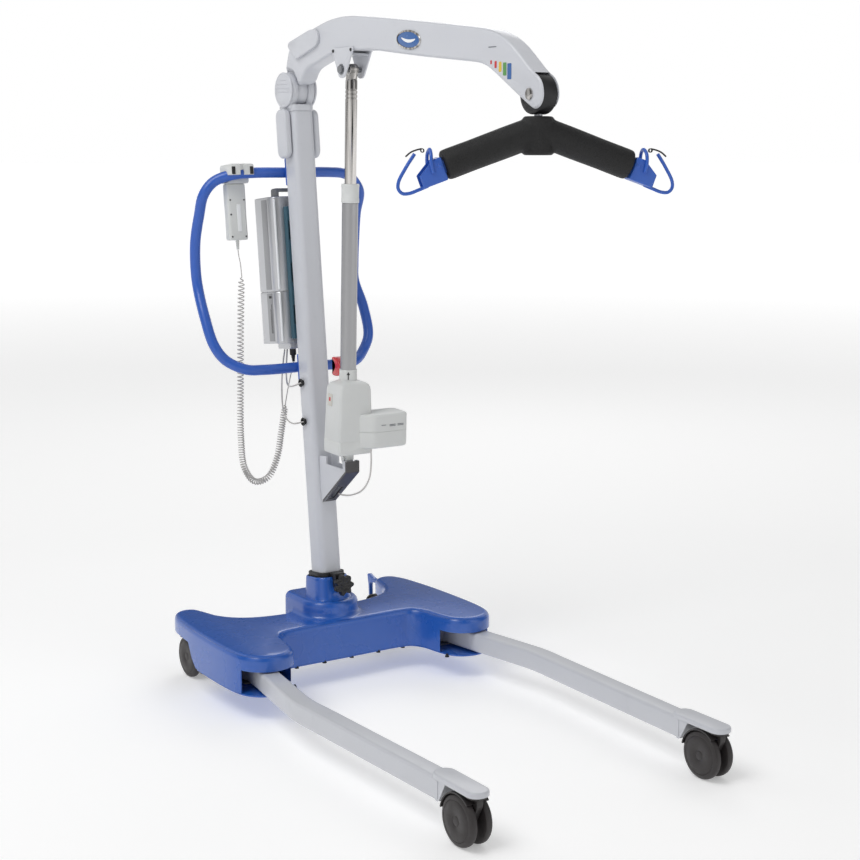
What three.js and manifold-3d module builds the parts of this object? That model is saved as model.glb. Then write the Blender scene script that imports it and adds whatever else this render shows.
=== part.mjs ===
// Patient lift hoist, in millimetres. +Z is up, the legs point along -Y and +X is the hoist's left side.
// Dimensions are given from the floor point under the foot of the mast; the finished hoist is then
// shifted so that its origin is on the floor at the middle of its footprint.
import * as THREE from 'three';
import { mergeVertices } from 'three/addons/utils/BufferGeometryUtils.js';
import Module from 'manifold-3d';

const wasm = await Module();
wasm.setup();

// ---- driving dimensions ----
const GAP = 0.3;                                      // between resting neighbours
const LEAN = THREE.MathUtils.degToRad(6);             // mast leans back by this
const FOOT_Z = 246;                                   // top of the mast socket
const POST = { width: 56, depth: 62, round: 14, wall: 3, bottom: -150, top: 1097 };
const PIVOT = { y: 121, z: 1388, tongue: 25, cheek: 30, radius: 40 };
const BOOM_WIDTH = 44;
const ROD_PIN = { y: -135, z: 1427 };                 // upper pin of the lift actuator
const LUG_PIN = { y: -103, z: 541 };                  // lower pin of the lift actuator
const ROD_RADIUS = 13.3;
const TUBE = { outer: 18.5, inner: 14.2, from: 180, to: 592 };
const SWING = { y: -821, z: 1358, radius: 38 };       // pin at the boom tip
const SPREADER_TURN = THREE.MathUtils.degToRad(-22);  // how the spreader bar is turned at rest
const ARM = { reach: 184, slope: THREE.MathUtils.degToRad(20), radius: 29, hubRadius: 30.5 };
const HUB = { top: 1317, bottom: 1244, joint: 1291 };
const COVER = { bottom: 60, top: 150, wall: 4 };
const HUMP = { radius: 72, centre: -6, back: 95, top: 190 };
const LEG = { pivotX: 267, pivotY: -120, bottom: 64.3, top: 110.3, halfWidth: 22, wall: 3 };
const CASTER = { wheel: 50, trail: 29, halfWidth: 26, top: 105.7 };
const FRONT_CASTER = { x: 297.7, y: -1051.7 };
const REAR_CASTER = { x: 283, y: 168 };
const HANDLE_RADIUS = 12.5;
const HANDLE_BACK = 50;                               // handle behind the mast's axis
const BOX = { halfWidth: 60, front: 46, back: 150, bottom: 555, split: 680, top: 905, round: 25 };
const HANDSET = { x: -137, back: 84, low: 806, high: 938, width: 51, thick: 25 };
const CORD = { coil: 8, lead: 2 };                    // radii
const YOKE = { plate: [198.6, 222], slot: [200.4, 219], front: -114.5, from: 116, to: 121 };
const WHEEL_SIDES = 20;
const MID_FOOTPRINT_Y = -401.85;                      // middle of the footprint, from the mast's foot

// ---- materials ----
const finish = (color, roughness, metalness) =>
  new THREE.MeshStandardMaterial({ color, roughness, metalness });
const GREY_COAT = finish(0xc8cbcf, 0.45, 0.1);
const BLUE = finish(0x426abe, 0.35, 0.0);
const CHARCOAL = finish(0x423e3e, 0.6, 0.0);
const BLACK = finish(0x1a1a1c, 0.5, 0.0);
const FOAM = finish(0x161618, 0.85, 0.0);
const PALE = finish(0xc8cfcd, 0.5, 0.0);
const CHROME = finish(0xd8d8da, 0.1, 1.0);
const ALUMINIUM = finish(0xb4b4b6, 0.35, 1.0);
const STEEL = finish(0x8f9194, 0.4, 1.0);
const RED = finish(0xbe1e23, 0.4, 0.0);
const TEAL = finish(0x466473, 0.5, 0.2);
const CORD_GREY = finish(0xa9aaaa, 0.6, 0.0);

// ---- solids ----
const v3 = (x, y, z) => new THREE.Vector3(x, y, z);

function solid(geometry) {
  const bare = geometry.index ? geometry.toNonIndexed() : geometry.clone();
  bare.deleteAttribute('normal');
  bare.deleteAttribute('uv');
  const merged = mergeVertices(bare, 1e-3);
  return new wasm.Manifold(new wasm.Mesh({
    numProp: 3,
    vertProperties: new Float32Array(merged.attributes.position.array),
    triVerts: new Uint32Array(merged.index.array),
  }));
}

function join(...solids) {
  return solids.reduce((a, b) => a.add(b));
}

function cut(body, ...tools) {
  return tools.reduce((a, b) => a.subtract(b), body);
}

function part(name, body, material, parent) {
  const made = body.getMesh();
  const geometry = new THREE.BufferGeometry();
  geometry.setAttribute('position', new THREE.BufferAttribute(made.vertProperties, 3));
  geometry.setIndex(new THREE.BufferAttribute(made.triVerts, 1));
  geometry.computeVertexNormals();
  const mesh = new THREE.Mesh(geometry, material);
  mesh.name = name;
  parent.add(mesh);
  return mesh;
}

function box(x0, x1, y0, y1, z0, z1) {
  const shape = new THREE.BoxGeometry(x1 - x0, y1 - y0, z1 - z0);
  return solid(shape.translate((x0 + x1) / 2, (y0 + y1) / 2, (z0 + z1) / 2));
}

// A cylinder (or cone) between two points.
function rod(from, to, radius, sides = 16, endRadius = radius) {
  const along = to.clone().sub(from);
  const geometry = new THREE.CylinderGeometry(endRadius, radius, along.length(), sides);
  const turn = new THREE.Quaternion().setFromUnitVectors(v3(0, 1, 0), along.clone().normalize());
  geometry.applyQuaternion(turn);
  const middle = from.clone().add(to).multiplyScalar(0.5);
  return solid(geometry.translate(middle.x, middle.y, middle.z));
}

function outline(points) {
  return new THREE.Shape(points.map(([x, y]) => new THREE.Vector2(x, y)));
}

function roundedRect(x0, x1, y0, y1, r) {
  const shape = new THREE.Shape();
  shape.absarc(x1 - r, y1 - r, r, 0, Math.PI / 2);
  shape.absarc(x0 + r, y1 - r, r, Math.PI / 2, Math.PI);
  shape.absarc(x0 + r, y0 + r, r, Math.PI, 1.5 * Math.PI);
  shape.absarc(x1 - r, y0 + r, r, 1.5 * Math.PI, 2 * Math.PI);
  return shape;
}

// A flat outline in X and Y, raised from z0 to z1, with an optional bevel on both faces.
function plate(shape, z0, z1, bevel = 0, curveSegments = 2) {
  const geometry = new THREE.ExtrudeGeometry(shape, {
    depth: z1 - z0 - 2 * bevel, curveSegments, bevelEnabled: bevel > 0,
    bevelThickness: bevel, bevelSize: bevel, bevelOffset: -bevel, bevelSegments: 1,
  });
  return solid(geometry.translate(0, 0, z0 + bevel));
}

// A flat outline in Y and Z, made thick along X.
function sidePlate(shape, x0, x1, bevel = 0, curveSegments = 2) {
  const geometry = new THREE.ExtrudeGeometry(shape, {
    depth: x1 - x0 - 2 * bevel, curveSegments, bevelEnabled: bevel > 0,
    bevelThickness: bevel, bevelSize: bevel, bevelOffset: -bevel, bevelSegments: 1,
  });
  geometry.translate(0, 0, x0 + bevel);
  geometry.applyMatrix4(new THREE.Matrix4().makeBasis(v3(0, 1, 0), v3(0, 0, 1), v3(1, 0, 0)));
  return solid(geometry);
}

// A round bar or cord swept along a path.
function sweep(path, radius, sides, steps) {
  const section = new THREE.Shape();
  section.absarc(0, 0, radius, 0, 2 * Math.PI);
  const divisions = { steps, curveSegments: sides / 2, extrudePath: path, bevelEnabled: false };
  return solid(new THREE.ExtrudeGeometry(section, divisions));
}

const curve = (points) => new THREE.CatmullRomCurve3(points.map((p) => v3(...p)), false, 'centripetal');

const model = new THREE.Group();
const hoist = new THREE.Group();
hoist.position.y = -MID_FOOTPRINT_Y;
model.add(hoist);

// The mast's own frame: its Z axis runs up the leaning mast, from the top of the socket.
const mastFrame = new THREE.Group();
mastFrame.position.set(0, 0, FOOT_Z);
mastFrame.rotation.x = -LEAN;
hoist.add(mastFrame);

// Moves a solid from the mast's frame into the hoist's frame.
function leaning(body) {
  return body.rotate([-THREE.MathUtils.radToDeg(LEAN), 0, 0]).translate([0, 0, FOOT_Z]);
}

// A point of the hoist's frame that is given up the mast and behind its axis.
function onMast(x, back, up) {
  const y = back * Math.cos(LEAN) + up * Math.sin(LEAN);
  return [x, y, FOOT_Z + up * Math.cos(LEAN) - back * Math.sin(LEAN)];
}

function postSection(grow) {
  const w = POST.width / 2 + grow, d = POST.depth / 2 + grow;
  return roundedRect(-w, w, -d, d, POST.round + grow);
}

// ---- base ----
function coverOutline() {
  const half = [
    [0, -97], [148, -97], [176, -103], [193, -128], [203, -185], [214, -222], [237, -244],
    [272, -252], [308, -240], [332, -212], [343, -160], [343, 10], [337, 90], [326, 160],
    [308, 194], [283, 203], [259, 193], [247, 165], [232, 112], [207, 78], [168, 54], [112, 42],
    [70, 40],
  ];
  const mirrored = half.slice(1).reverse().map(([x, y]) => [-x, y]);
  return half.concat(mirrored);
}

function inset(points, by) {
  const count = points.length;
  return points.map(([x, y], i) => {
    const a = points[(i + count - 1) % count], b = points[(i + 1) % count];
    const length = Math.hypot(b[0] - a[0], b[1] - a[1]);
    return [x - (b[1] - a[1]) / length * by, y + (b[0] - a[0]) / length * by];
  });
}

// The hump that carries the mast: half round in front, square behind.
function humpOutline(less) {
  const { radius, centre, back } = HUMP;
  const corner = 26 - less, flat = radius - 26;
  const edge = [];
  const arc = (x, y, r, from, to, steps) => {
    for (let i = 0; i <= steps; i++) {
      const angle = from + (to - from) * i / steps;
      edge.push([x + r * Math.cos(angle), y + r * Math.sin(angle)]);
    }
  };
  arc(flat, back - 26, corner, 0, Math.PI / 2, 5);
  arc(-flat, back - 26, corner, Math.PI / 2, Math.PI, 5);
  arc(0, centre, radius - less, Math.PI, 2 * Math.PI, 16);
  return outline(edge);
}

function baseCover() {
  const { bottom, top, wall } = COVER;
  const edge = coverOutline();
  const outer = plate(outline(edge), bottom - 12, top, 12);
  const inner = plate(outline(inset(edge, wall)), bottom - 20, top - wall);
  const hump = plate(humpOutline(0), top - 30, HUMP.top, 10);
  const hollow = plate(humpOutline(wall), bottom, HUMP.top - wall, 8);
  const socket = leaning(plate(postSection(18), -70, -6, 6));
  const bore = leaning(plate(postSection(11), -200, 10));
  const pawMouths = [-1, 1].map((side) => {
    const mouth = outline([[204, -300], [350, -300], [350, -200], [334, -200], [334, -120], [204, -120]]
      .map(([x, y]) => [side * x, y]));
    return plate(mouth, bottom - 30, 114);
  });
  const archEdge = outline([[16, 20], [16, 58], [40, 78], [62, 112], [300, 112], [300, 20]]);
  const rearArch = sidePlate(archEdge, -400, 400);
  const flatBottom = box(-400, 400, -400, 400, 0, bottom);
  const ears = [[272, 279.6], [290.4, 298]].map(([a, b]) => box(a, b, 188, 218, 120, 136));
  const leverPin = rod(v3(272, 212, 128), v3(298, 212, 128), 3, 10);
  const body = join(outer, hump, socket, ...ears, leverPin);
  return cut(body, inner, hollow, bore, ...pawMouths, rearArch, flatBottom);
}

function baseTray() {
  const rear = box(-400, 400, 12, 400, 0, 200);
  return cut(plate(outline(inset(coverOutline(), 1)), COVER.bottom - 4.3, COVER.bottom - GAP), rear);
}

function baseFrame() {
  const beam = cut(box(-300, 300, -40, 35, 60, 114), box(-400, 400, -37, 32, 63, 111));
  const mastTube = leaning(plate(postSection(7), -160, -8));
  const bore = leaning(plate(postSection(1), -155, 10));
  const feet = [];
  for (const side of [-1, 1]) {
    for (const z of [60, 110.8]) {
      const x = side * LEG.pivotX;
      feet.push(box(x - 34, x + 34, -150, -38, z, z + 3.2));
    }
    const arm = outline([[250, 0], [300, 0], [305, 168], [261, 168]].map(([x, y]) => [side * x, y]));
    feet.push(plate(arm, 112.5, 122));
    const spot = v3(side * REAR_CASTER.x, REAR_CASTER.y, 112.5);
    feet.push(rod(spot, spot.clone().setZ(122), 22));
    const riser = side * 280;
    feet.push(box(riser - 20, riser + 20, 0, 30, 108, 122));
  }
  const legPins = [-1, 1].map((side) => {
    const at = (z) => v3(side * LEG.pivotX, LEG.pivotY, z);
    return join(rod(at(60), at(119), 8), rod(at(113), at(120), 13, 6));
  });
  return join(cut(join(beam, mastTube, ...feet), bore), ...legPins);
}

part('base_frame', baseFrame(), STEEL, hoist);
part('base_cover', baseCover(), BLUE, hoist);
part('base_tray', baseTray(), BLUE, hoist);

// Collar round the mast where it enters the socket, with the lug that holds the star knob.
const collarLug = cut(join(box(-13, 13, -66, -36, -5.5, 4), box(-13, 13, -66, -49.5, -32, -5.4)),
  rod(v3(0, -80, -20.8), v3(0, -40, -20.8), 7.5, 12));
const collar = cut(join(plate(postSection(8), -5.5, 4), collarLug), plate(postSection(0.4), -20, 20));
part('socket_collar', collar, BLACK, mastFrame);

// Star knob: a lobed grip in front of the socket. Its screw stops short of the mast tube.
function starKnob() {
  const lobes = 7, points = [];
  for (let i = 0; i < lobes * 4; i++) {
    const angle = (i / (lobes * 4)) * 2 * Math.PI;
    const r = 23 + 3 * Math.cos(lobes * angle);
    points.push([r * Math.cos(angle), r * Math.sin(angle)]);
  }
  const grip = plate(outline(points), 0, 18, 2).translate([0, 0, 7]);
  const screw = rod(v3(0, 0, -12.5), v3(0, 0, 10), 5);
  return join(grip, rod(v3(0, 0, 3), v3(0, 0, 10), 12), screw).rotate([90, 0, 0]);
}
const knob = part('star_knob', starKnob(), BLACK, hoist);
knob.position.set(0, -66, 232);

// ---- legs and their drive ----
function legSolid(side) {
  const { pivotX, pivotY, halfWidth: w, wall } = LEG;
  const line = [[pivotX, pivotY], [278, -205], [308, -400], [313, -445], [312, -492], [297.7, -957]];
  const offset = (by) => {
    const left = [], right = [];
    line.forEach(([x, y], i) => {
      const a = line[Math.max(0, i - 1)], b = line[Math.min(line.length - 1, i + 1)];
      const length = Math.hypot(b[0] - a[0], b[1] - a[1]);
      const nx = (b[1] - a[1]) / length * by, ny = -(b[0] - a[0]) / length * by;
      left.push([side * (x + nx), y + ny]);
      right.push([side * (x - nx), y - ny]);
    });
    return outline(left.concat(right.reverse()));
  };
  const tube = plate(offset(w), LEG.bottom, LEG.top, 4);
  const hollow = plate(offset(w - wall), LEG.bottom + wall, LEG.top - wall);
  const boss = rod(v3(side * pivotX, pivotY, LEG.bottom), v3(side * pivotX, pivotY, LEG.top), 27, 20);
  const bore = rod(v3(side * pivotX, pivotY, 40), v3(side * pivotX, pivotY, 140), 8.5);
  const bossCore = rod(v3(side * pivotX, pivotY, LEG.bottom), v3(side * pivotX, pivotY, LEG.top), 18, 20);
  const vent = rod(v3(side * 303, -600, 50), v3(side * 303, -600, 80), 5);
  const capX = side * FRONT_CASTER.x;
  const head = plate(roundedRect(capX - w, capX + w, FRONT_CASTER.y - w, -930, w - 0.5), 106, 117);
  const strap = plate(roundedRect(capX - w, capX + w, -1040, -928, 4), 106, 117);
  const endPlate = sidePlate(outline([[-950, 108], [-982, 108], [-958, 66], [-950, 66]]), capX - w, capX + w);
  const stemHole = rod(v3(capX, FRONT_CASTER.y, 100), v3(capX, FRONT_CASTER.y, 112), 9);
  const lever = plate(roundedRect(204, 262, -114, -96, 8), 92, LEG.top).scale([side, 1, 1]);
  const leverPin = rod(v3(side * 208, -105, 100), v3(side * 208, -105, 126), 5, 12);
  const shell = cut(join(tube, boss), hollow);
  return cut(join(shell, bossCore, head, strap, endPlate, lever, leverPin), bore, vent, stemHole);
}

for (const [side, word] of [[-1, 'right'], [1, 'left']]) {
  part(`leg_${word}`, legSolid(side), GREY_COAT, hoist);
}

// A yoke that slides fore and aft swings both legs: their lever pins run in its slots.
function legYoke() {
  const width = YOKE.plate[1];
  const beam = box(-width, width, -67, -54, YOKE.from, YOKE.to);
  const ends = [-1, 1].map((side) => {
    const plateEnd = box(...YOKE.plate, YOKE.front, -56, YOKE.from, YOKE.to);
    const slot = box(...YOKE.slot, -111.4, -98.6, 110, 130);
    const end = cut(plateEnd, slot);
    return side > 0 ? end : end.mirror([1, 0, 0]);
  });
  return join(beam, ...ends);
}
part('leg_yoke', legYoke(), STEEL, hoist);
const pushRodY = (y) => v3(130, y, 118.5);
part('leg_push_rod', rod(pushRodY(-53.7), pushRodY(20), 4), CHROME, hoist);
const legMotor = box(108, 152, -24, 34, 114.3, 143);
const legMotorBore = rod(pushRodY(-60), pushRodY(30), 4.8);
part('leg_motor', cut(legMotor, legMotorBore), BLACK, hoist);

// ---- casters ----
function casterHood(top) {
  const { trail, wheel } = CASTER;
  const web = sidePlate(outline([
    [-13, 104], [trail + 8, 104], [trail + 30, 84], [trail + 22, 44], [trail, 33],
    [trail - 18, 42], [-13, 86],
  ]), -7, 7);
  const arc = new THREE.Shape();
  arc.absarc(trail, wheel, 54, 0.2, 2.25, false);
  arc.absarc(trail, wheel, 51.2, 2.25, 0.2, true);
  const fender = sidePlate(arc, -25, 25, 0, 4);
  const head = rod(v3(0, 0, 101), v3(0, 0, CASTER.top), 20, 20);
  const stem = rod(v3(0, 0, 101), v3(0, 0, top), 8, 12);
  const bore = rod(v3(-20, trail, wheel), v3(20, trail, wheel), 5.6, 12);
  return cut(join(web, fender, head, stem), bore);
}

// Two wheel discs on one axle.
function wheelPair() {
  const { wheel, halfWidth: w } = CASTER;
  const half = [[0, w], [wheel - 5, w], [wheel, w - 6], [wheel, 10], [47, 7.6], [5, 7.6]];
  const profile = half.concat(half.slice().reverse().map(([r, x]) => [r, -x]));
  const points = profile.map(([r, x]) => new THREE.Vector2(r, x)).reverse();
  const facet = Math.PI / WHEEL_SIDES;
  const geometry = new THREE.LatheGeometry(points, WHEEL_SIDES, facet).rotateZ(Math.PI / 2);
  return solid(geometry.scale(1, 1 / Math.cos(facet), 1 / Math.cos(facet)));
}

const casters = [
  ['front_right', -FRONT_CASTER.x, FRONT_CASTER.y, 111.7, 0],
  ['front_left', FRONT_CASTER.x, FRONT_CASTER.y, 111.7, 0],
  ['rear_right', -REAR_CASTER.x, REAR_CASTER.y, 112.2, Math.PI],
  ['rear_left', REAR_CASTER.x, REAR_CASTER.y, 112.2, 0],
];
for (const [name, x, y, stemTop, turn] of casters) {
  const group = new THREE.Group();
  group.position.set(x, y, 0);
  group.rotation.z = turn;
  hoist.add(group);
  part(`caster_hood_${name}`, casterHood(stemTop), CHARCOAL, group);
  const wheels = part(`caster_wheels_${name}`, wheelPair(), CHARCOAL, group);
  wheels.position.set(0, CASTER.trail, CASTER.wheel);
}

// Foot lever of the brake, hinged behind the left rear arm.
const brakeLever = sidePlate(outline([
  [207, 122], [207, 134], [240, 135], [262, 143], [270, 141], [264, 112], [262, 84], [256, 84],
  [256, 118], [240, 124],
]), 280, 290);
part('brake_lever', cut(brakeLever, rod(v3(255, 212, 128), v3(300, 212, 128), 3.6)), BLUE, hoist);

// ---- mast ----
const post = cut(plate(postSection(0), POST.bottom, POST.top, 0, 4),
  plate(postSection(-POST.wall), POST.bottom - 5, POST.top + 5, 0, 4));
const grommetUps = [460, 367];
const grommetHoles = grommetUps.map((up) => rod(v3(-40, 6, up), v3(-15, 6, up), 7, 12));
part('mast_post', cut(post, ...grommetHoles), GREY_COAT, mastFrame);
grommetUps.forEach((up, i) => {
  const ring = join(rod(v3(-32, 6, up), v3(-28.3, 6, up), 10), rod(v3(-30, 6, up), v3(-22, 6, up), 6.6, 12));
  const bore = rod(v3(-40, 6, up), v3(-10, 6, up), 2.6, 8);
  part(['cable_grommet_upper', 'cable_grommet_lower'][i], cut(ring, bore), BLACK, mastFrame);
});

// Fork on top of the mast: a cap with two cheeks that carry the boom's pivot.
function mastHead() {
  const cap = leaning(plate(postSection(1.5), POST.top + GAP, POST.top + 16, 3));
  const plug = leaning(plate(postSection(-POST.wall - 0.6), POST.top - 30, POST.top + 8));
  const cheeks = [-1, 1].map((side) => {
    const inner = side * (PIVOT.tongue / 2 + 1), outer = side * PIVOT.cheek;
    const disc = rod(v3(inner, PIVOT.y, PIVOT.z), v3(outer, PIVOT.y, PIVOT.z), PIVOT.radius, 24);
    const neck = sidePlate(outline([[92, 1344], [148, 1344], [146, 1372], [96, 1372]]),
      Math.min(inner, outer), Math.max(inner, outer));
    return join(disc, neck);
  });
  const tongueRoom = rod(v3(-PIVOT.tongue / 2 - 1, PIVOT.y, PIVOT.z),
    v3(PIVOT.tongue / 2 + 1, PIVOT.y, PIVOT.z), 37.5, 24);
  const pinBore = rod(v3(-60, PIVOT.y, PIVOT.z), v3(60, PIVOT.y, PIVOT.z), 9.5);
  return cut(join(cap, plug, ...cheeks), tongueRoom, pinBore);
}
part('mast_head', mastHead(), GREY_COAT, hoist);

const pinAt = (x) => v3(x, PIVOT.y, PIVOT.z);
const pivotPin = join(rod(pinAt(-31), pinAt(31), 9), rod(pinAt(-35), pinAt(-30.3), 41, 28),
  rod(pinAt(30.3), pinAt(35), 41, 28));
part('head_pivot_pin', pivotPin, GREY_COAT, hoist);

for (const [side, word] of [[-1, 'right'], [1, 'left']]) {
  const shape = roundedRect(-21, 27, 990, 1104, 16);
  const [a, b] = [30.2, 46].map((x) => side * x);
  part(`head_cover_${word}`, sidePlate(shape, Math.min(a, b), Math.max(a, b), 2), GREY_COAT, mastFrame);
}

// Gusset under the lift actuator: two side plates joined by a sloping front plate.
function gusset() {
  const side = [[-6, 534], [-36, 537], [-36, 518], [-112, 518], [-112, 538], [-127, 538],
    [-127, 512], [-18, 424], [-18, 440]];
  const front = outline([[-123.5, 515], [-127, 512], [-18, 424], [-18, 429]]);
  const sides = [-17.8, 14.2].map((x) => sidePlate(outline(side), x, x + 3.6));
  const lip = sidePlate(outline([[-124, 538], [-127, 538], [-127, 512], [-123.5, 515]]), -16, 16);
  const room = leaning(plate(postSection(GAP), -50, 400));
  const hole = box(-7, 7, -90, -20, 432, 468);
  return cut(join(...sides, sidePlate(front, -16, 16), lip), room, hole);
}
part('actuator_gusset', gusset(), GREY_COAT, hoist);

// Push handle: a bent loop of tube on two saddle plates.
function handleLoop(radius) {
  const half = [[0, 0, 961], [105, 0, 961], [150, 7, 958], [190, 30, 944], [213, 42, 915],
    [216, 68, 868], [220, 90, 806], [219, 100, 740], [217, 99, 700], [220, 67, 630], [213, 40, 560],
    [190, 30, 524], [150, 7, 500], [105, 0, 496], [0, 0, 496]];
  const ring = half.concat(half.slice(1, -1).reverse().map(([x, y, z]) => [-x, y, z]));
  const points = ring.map(([x, back, up]) => v3(x, HANDLE_BACK + back, up));
  const path = new THREE.CatmullRomCurve3(points, true, 'centripetal');
  const section = new THREE.Shape();
  section.absarc(0, 0, radius, 0, 2 * Math.PI);
  return solid(new THREE.ExtrudeGeometry(section, { steps: 46, curveSegments: 4, extrudePath: path }));
}

function pushHandle() {
  const back = POST.depth / 2 + GAP;
  const saddles = [961, 496].map((up) => box(-22, 22, back, back + 9, up - 32, up + 32));
  return join(handleLoop(HANDLE_RADIUS), ...saddles);
}
part('push_handle', pushHandle(), BLUE, mastFrame);

// Wall plate, control box and battery pack on the back of the mast.
const plateBack = POST.depth / 2 + GAP;
const wallPlate = box(-30, 30, plateBack, BOX.front - GAP, BOX.bottom + 10, BOX.top - 25);
part('box_wall_plate', wallPlate, TEAL, mastFrame);
function boxShell(from, to) {
  return plate(roundedRect(-BOX.halfWidth, BOX.halfWidth, BOX.front, BOX.back, BOX.round), from, to, 4, 4);
}
const boxFoot = box(-34, 14, BOX.front + 2, BOX.front + 62, BOX.bottom - 14, BOX.bottom + 10);
const stopBore = rod(v3(0, BOX.back - 12, 640), v3(0, BOX.back + 10, 640), 9);
part('control_box', cut(join(boxShell(BOX.bottom, BOX.split), boxFoot), stopBore), PALE, mastFrame);
const gripArch = cut(box(-44, 44, BOX.front + 8, BOX.front + 34, BOX.top - 10, BOX.top + 20),
  box(-34, 34, BOX.front, BOX.front + 40, BOX.top, BOX.top + 12));
part('battery_pack', join(boxShell(BOX.split + 0.6, BOX.top), gripArch), PALE, mastFrame);
const stopButton = join(rod(v3(0, BOX.back - 9, 640), v3(0, BOX.back + 4, 640), 8),
  rod(v3(0, BOX.back + 4, 640), v3(0, BOX.back + 14, 640), 15, 20));
part('stop_button', stopButton, RED, mastFrame);

// ---- handset, its clip, buttons and curly cord ----
const clipBlock = box(HANDSET.x - 31, HANDSET.x + 31, HANDLE_BACK - 17, HANDSET.back + 9, 938.3, 982);
const clipMouth = box(HANDSET.x - 40, HANDSET.x + 40, HANDLE_BACK - 30, HANDLE_BACK + 16, 930, 956);
part('handset_clip', cut(clipBlock, handleLoop(HANDLE_RADIUS + 1), clipMouth), PALE, mastFrame);
const handsetFrame = new THREE.Group();
handsetFrame.position.set(HANDSET.x, HANDSET.back, 0);
mastFrame.add(handsetFrame);
const halfThick = HANDSET.thick / 2, halfWide = HANDSET.width / 2;
const buttonSpots = [[-10, 905], [10, 905], [-10, 872], [10, 872]];
const wells = buttonSpots.map(([x, up]) => rod(v3(x, halfThick - 5, up), v3(x, halfThick + 5, up), 6.6, 14));
const handsetFace = roundedRect(-halfWide, halfWide, -halfThick, halfThick, 8);
const handsetBody = plate(handsetFace, HANDSET.low, HANDSET.high, 3);
const strain = rod(v3(0, 0, HANDSET.low - 22), v3(0, 0, HANDSET.low + 5), 3.4, 10, 5);
part('handset', cut(join(handsetBody, strain), ...wells), PALE, handsetFrame);
const buttonNames = ['button_raise', 'button_lower', 'button_legs_open', 'button_legs_close'];
buttonSpots.forEach(([x, up], i) => {
  const cap = rod(v3(x, halfThick - 2.6, up), v3(x, halfThick + 2, up), 6, 14);
  part(buttonNames[i], cap, TEAL, handsetFrame);
});

const cordTop = onMast(HANDSET.x, HANDSET.back, HANDSET.low - 23 - 2 * GAP);
const plugTip = onMast(-10, BOX.front + 32, BOX.bottom - 46);
const coilTop = [-139, 146, 955];
const coilEnd = [-26, 146, 640];
const coilPath = [coilTop, [-143, 146, 860], [-147, 146, 700], [-148, 146, 560], [-140, 146, 492],
  [-112, 147, 456], [-76, 148, 462], [-50, 148, 508], [-38, 147, 570], coilEnd];
part('handset_lead', sweep(curve([cordTop, [-138, 150, 1000], [coilTop[0], coilTop[1], coilTop[2] + GAP]]),
  CORD.lead, 8, 10), CORD_GREY, hoist);
part('handset_coil', sweep(curve(coilPath), CORD.coil, 8, 26), CORD_GREY, hoist);
const tailFrom = [coilEnd[0] + 0.2, coilEnd[1], coilEnd[2] + 0.5];
part('handset_tail', sweep(curve([tailFrom, [-18, 145, 680], [plugTip[0], plugTip[1], plugTip[2] - 3 * GAP]]),
  CORD.lead, 8, 10), CORD_GREY, hoist);
const plugAt = (up) => v3(-10, BOX.front + 32, up);
const plug = join(rod(plugAt(BOX.bottom - 46), plugAt(BOX.bottom - 30), 3.6, 12, 6),
  rod(plugAt(BOX.bottom - 30), plugAt(BOX.bottom - 14 - GAP), 8, 12));
part('handset_plug', plug, CHARCOAL, mastFrame);

// Two leads that go from the foot of the control box into the mast's grommets.
const leadEnds = grommetUps.map((up) => onMast(-32.3 - GAP, 6, up));
const leadTops = [-24, -31].map((x) => onMast(x, BOX.front + 34, BOX.bottom - 14 - 3 * GAP));
const leadPaths = [
  [leadTops[0], [-25, 138, 752], [-30, 132, 716], [-44, 100, 694], [-50, 68, 694], leadEnds[0]],
  [leadTops[1], [-34, 139, 745], [-44, 130, 680], [-56, 96, 622], [-54, 58, 606], leadEnds[1]],
];
leadPaths.forEach((points, i) => {
  part(['lift_lead', 'leg_lead'][i], sweep(curve(points), CORD.lead, 8, 18), CORD_GREY, hoist);
});

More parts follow.
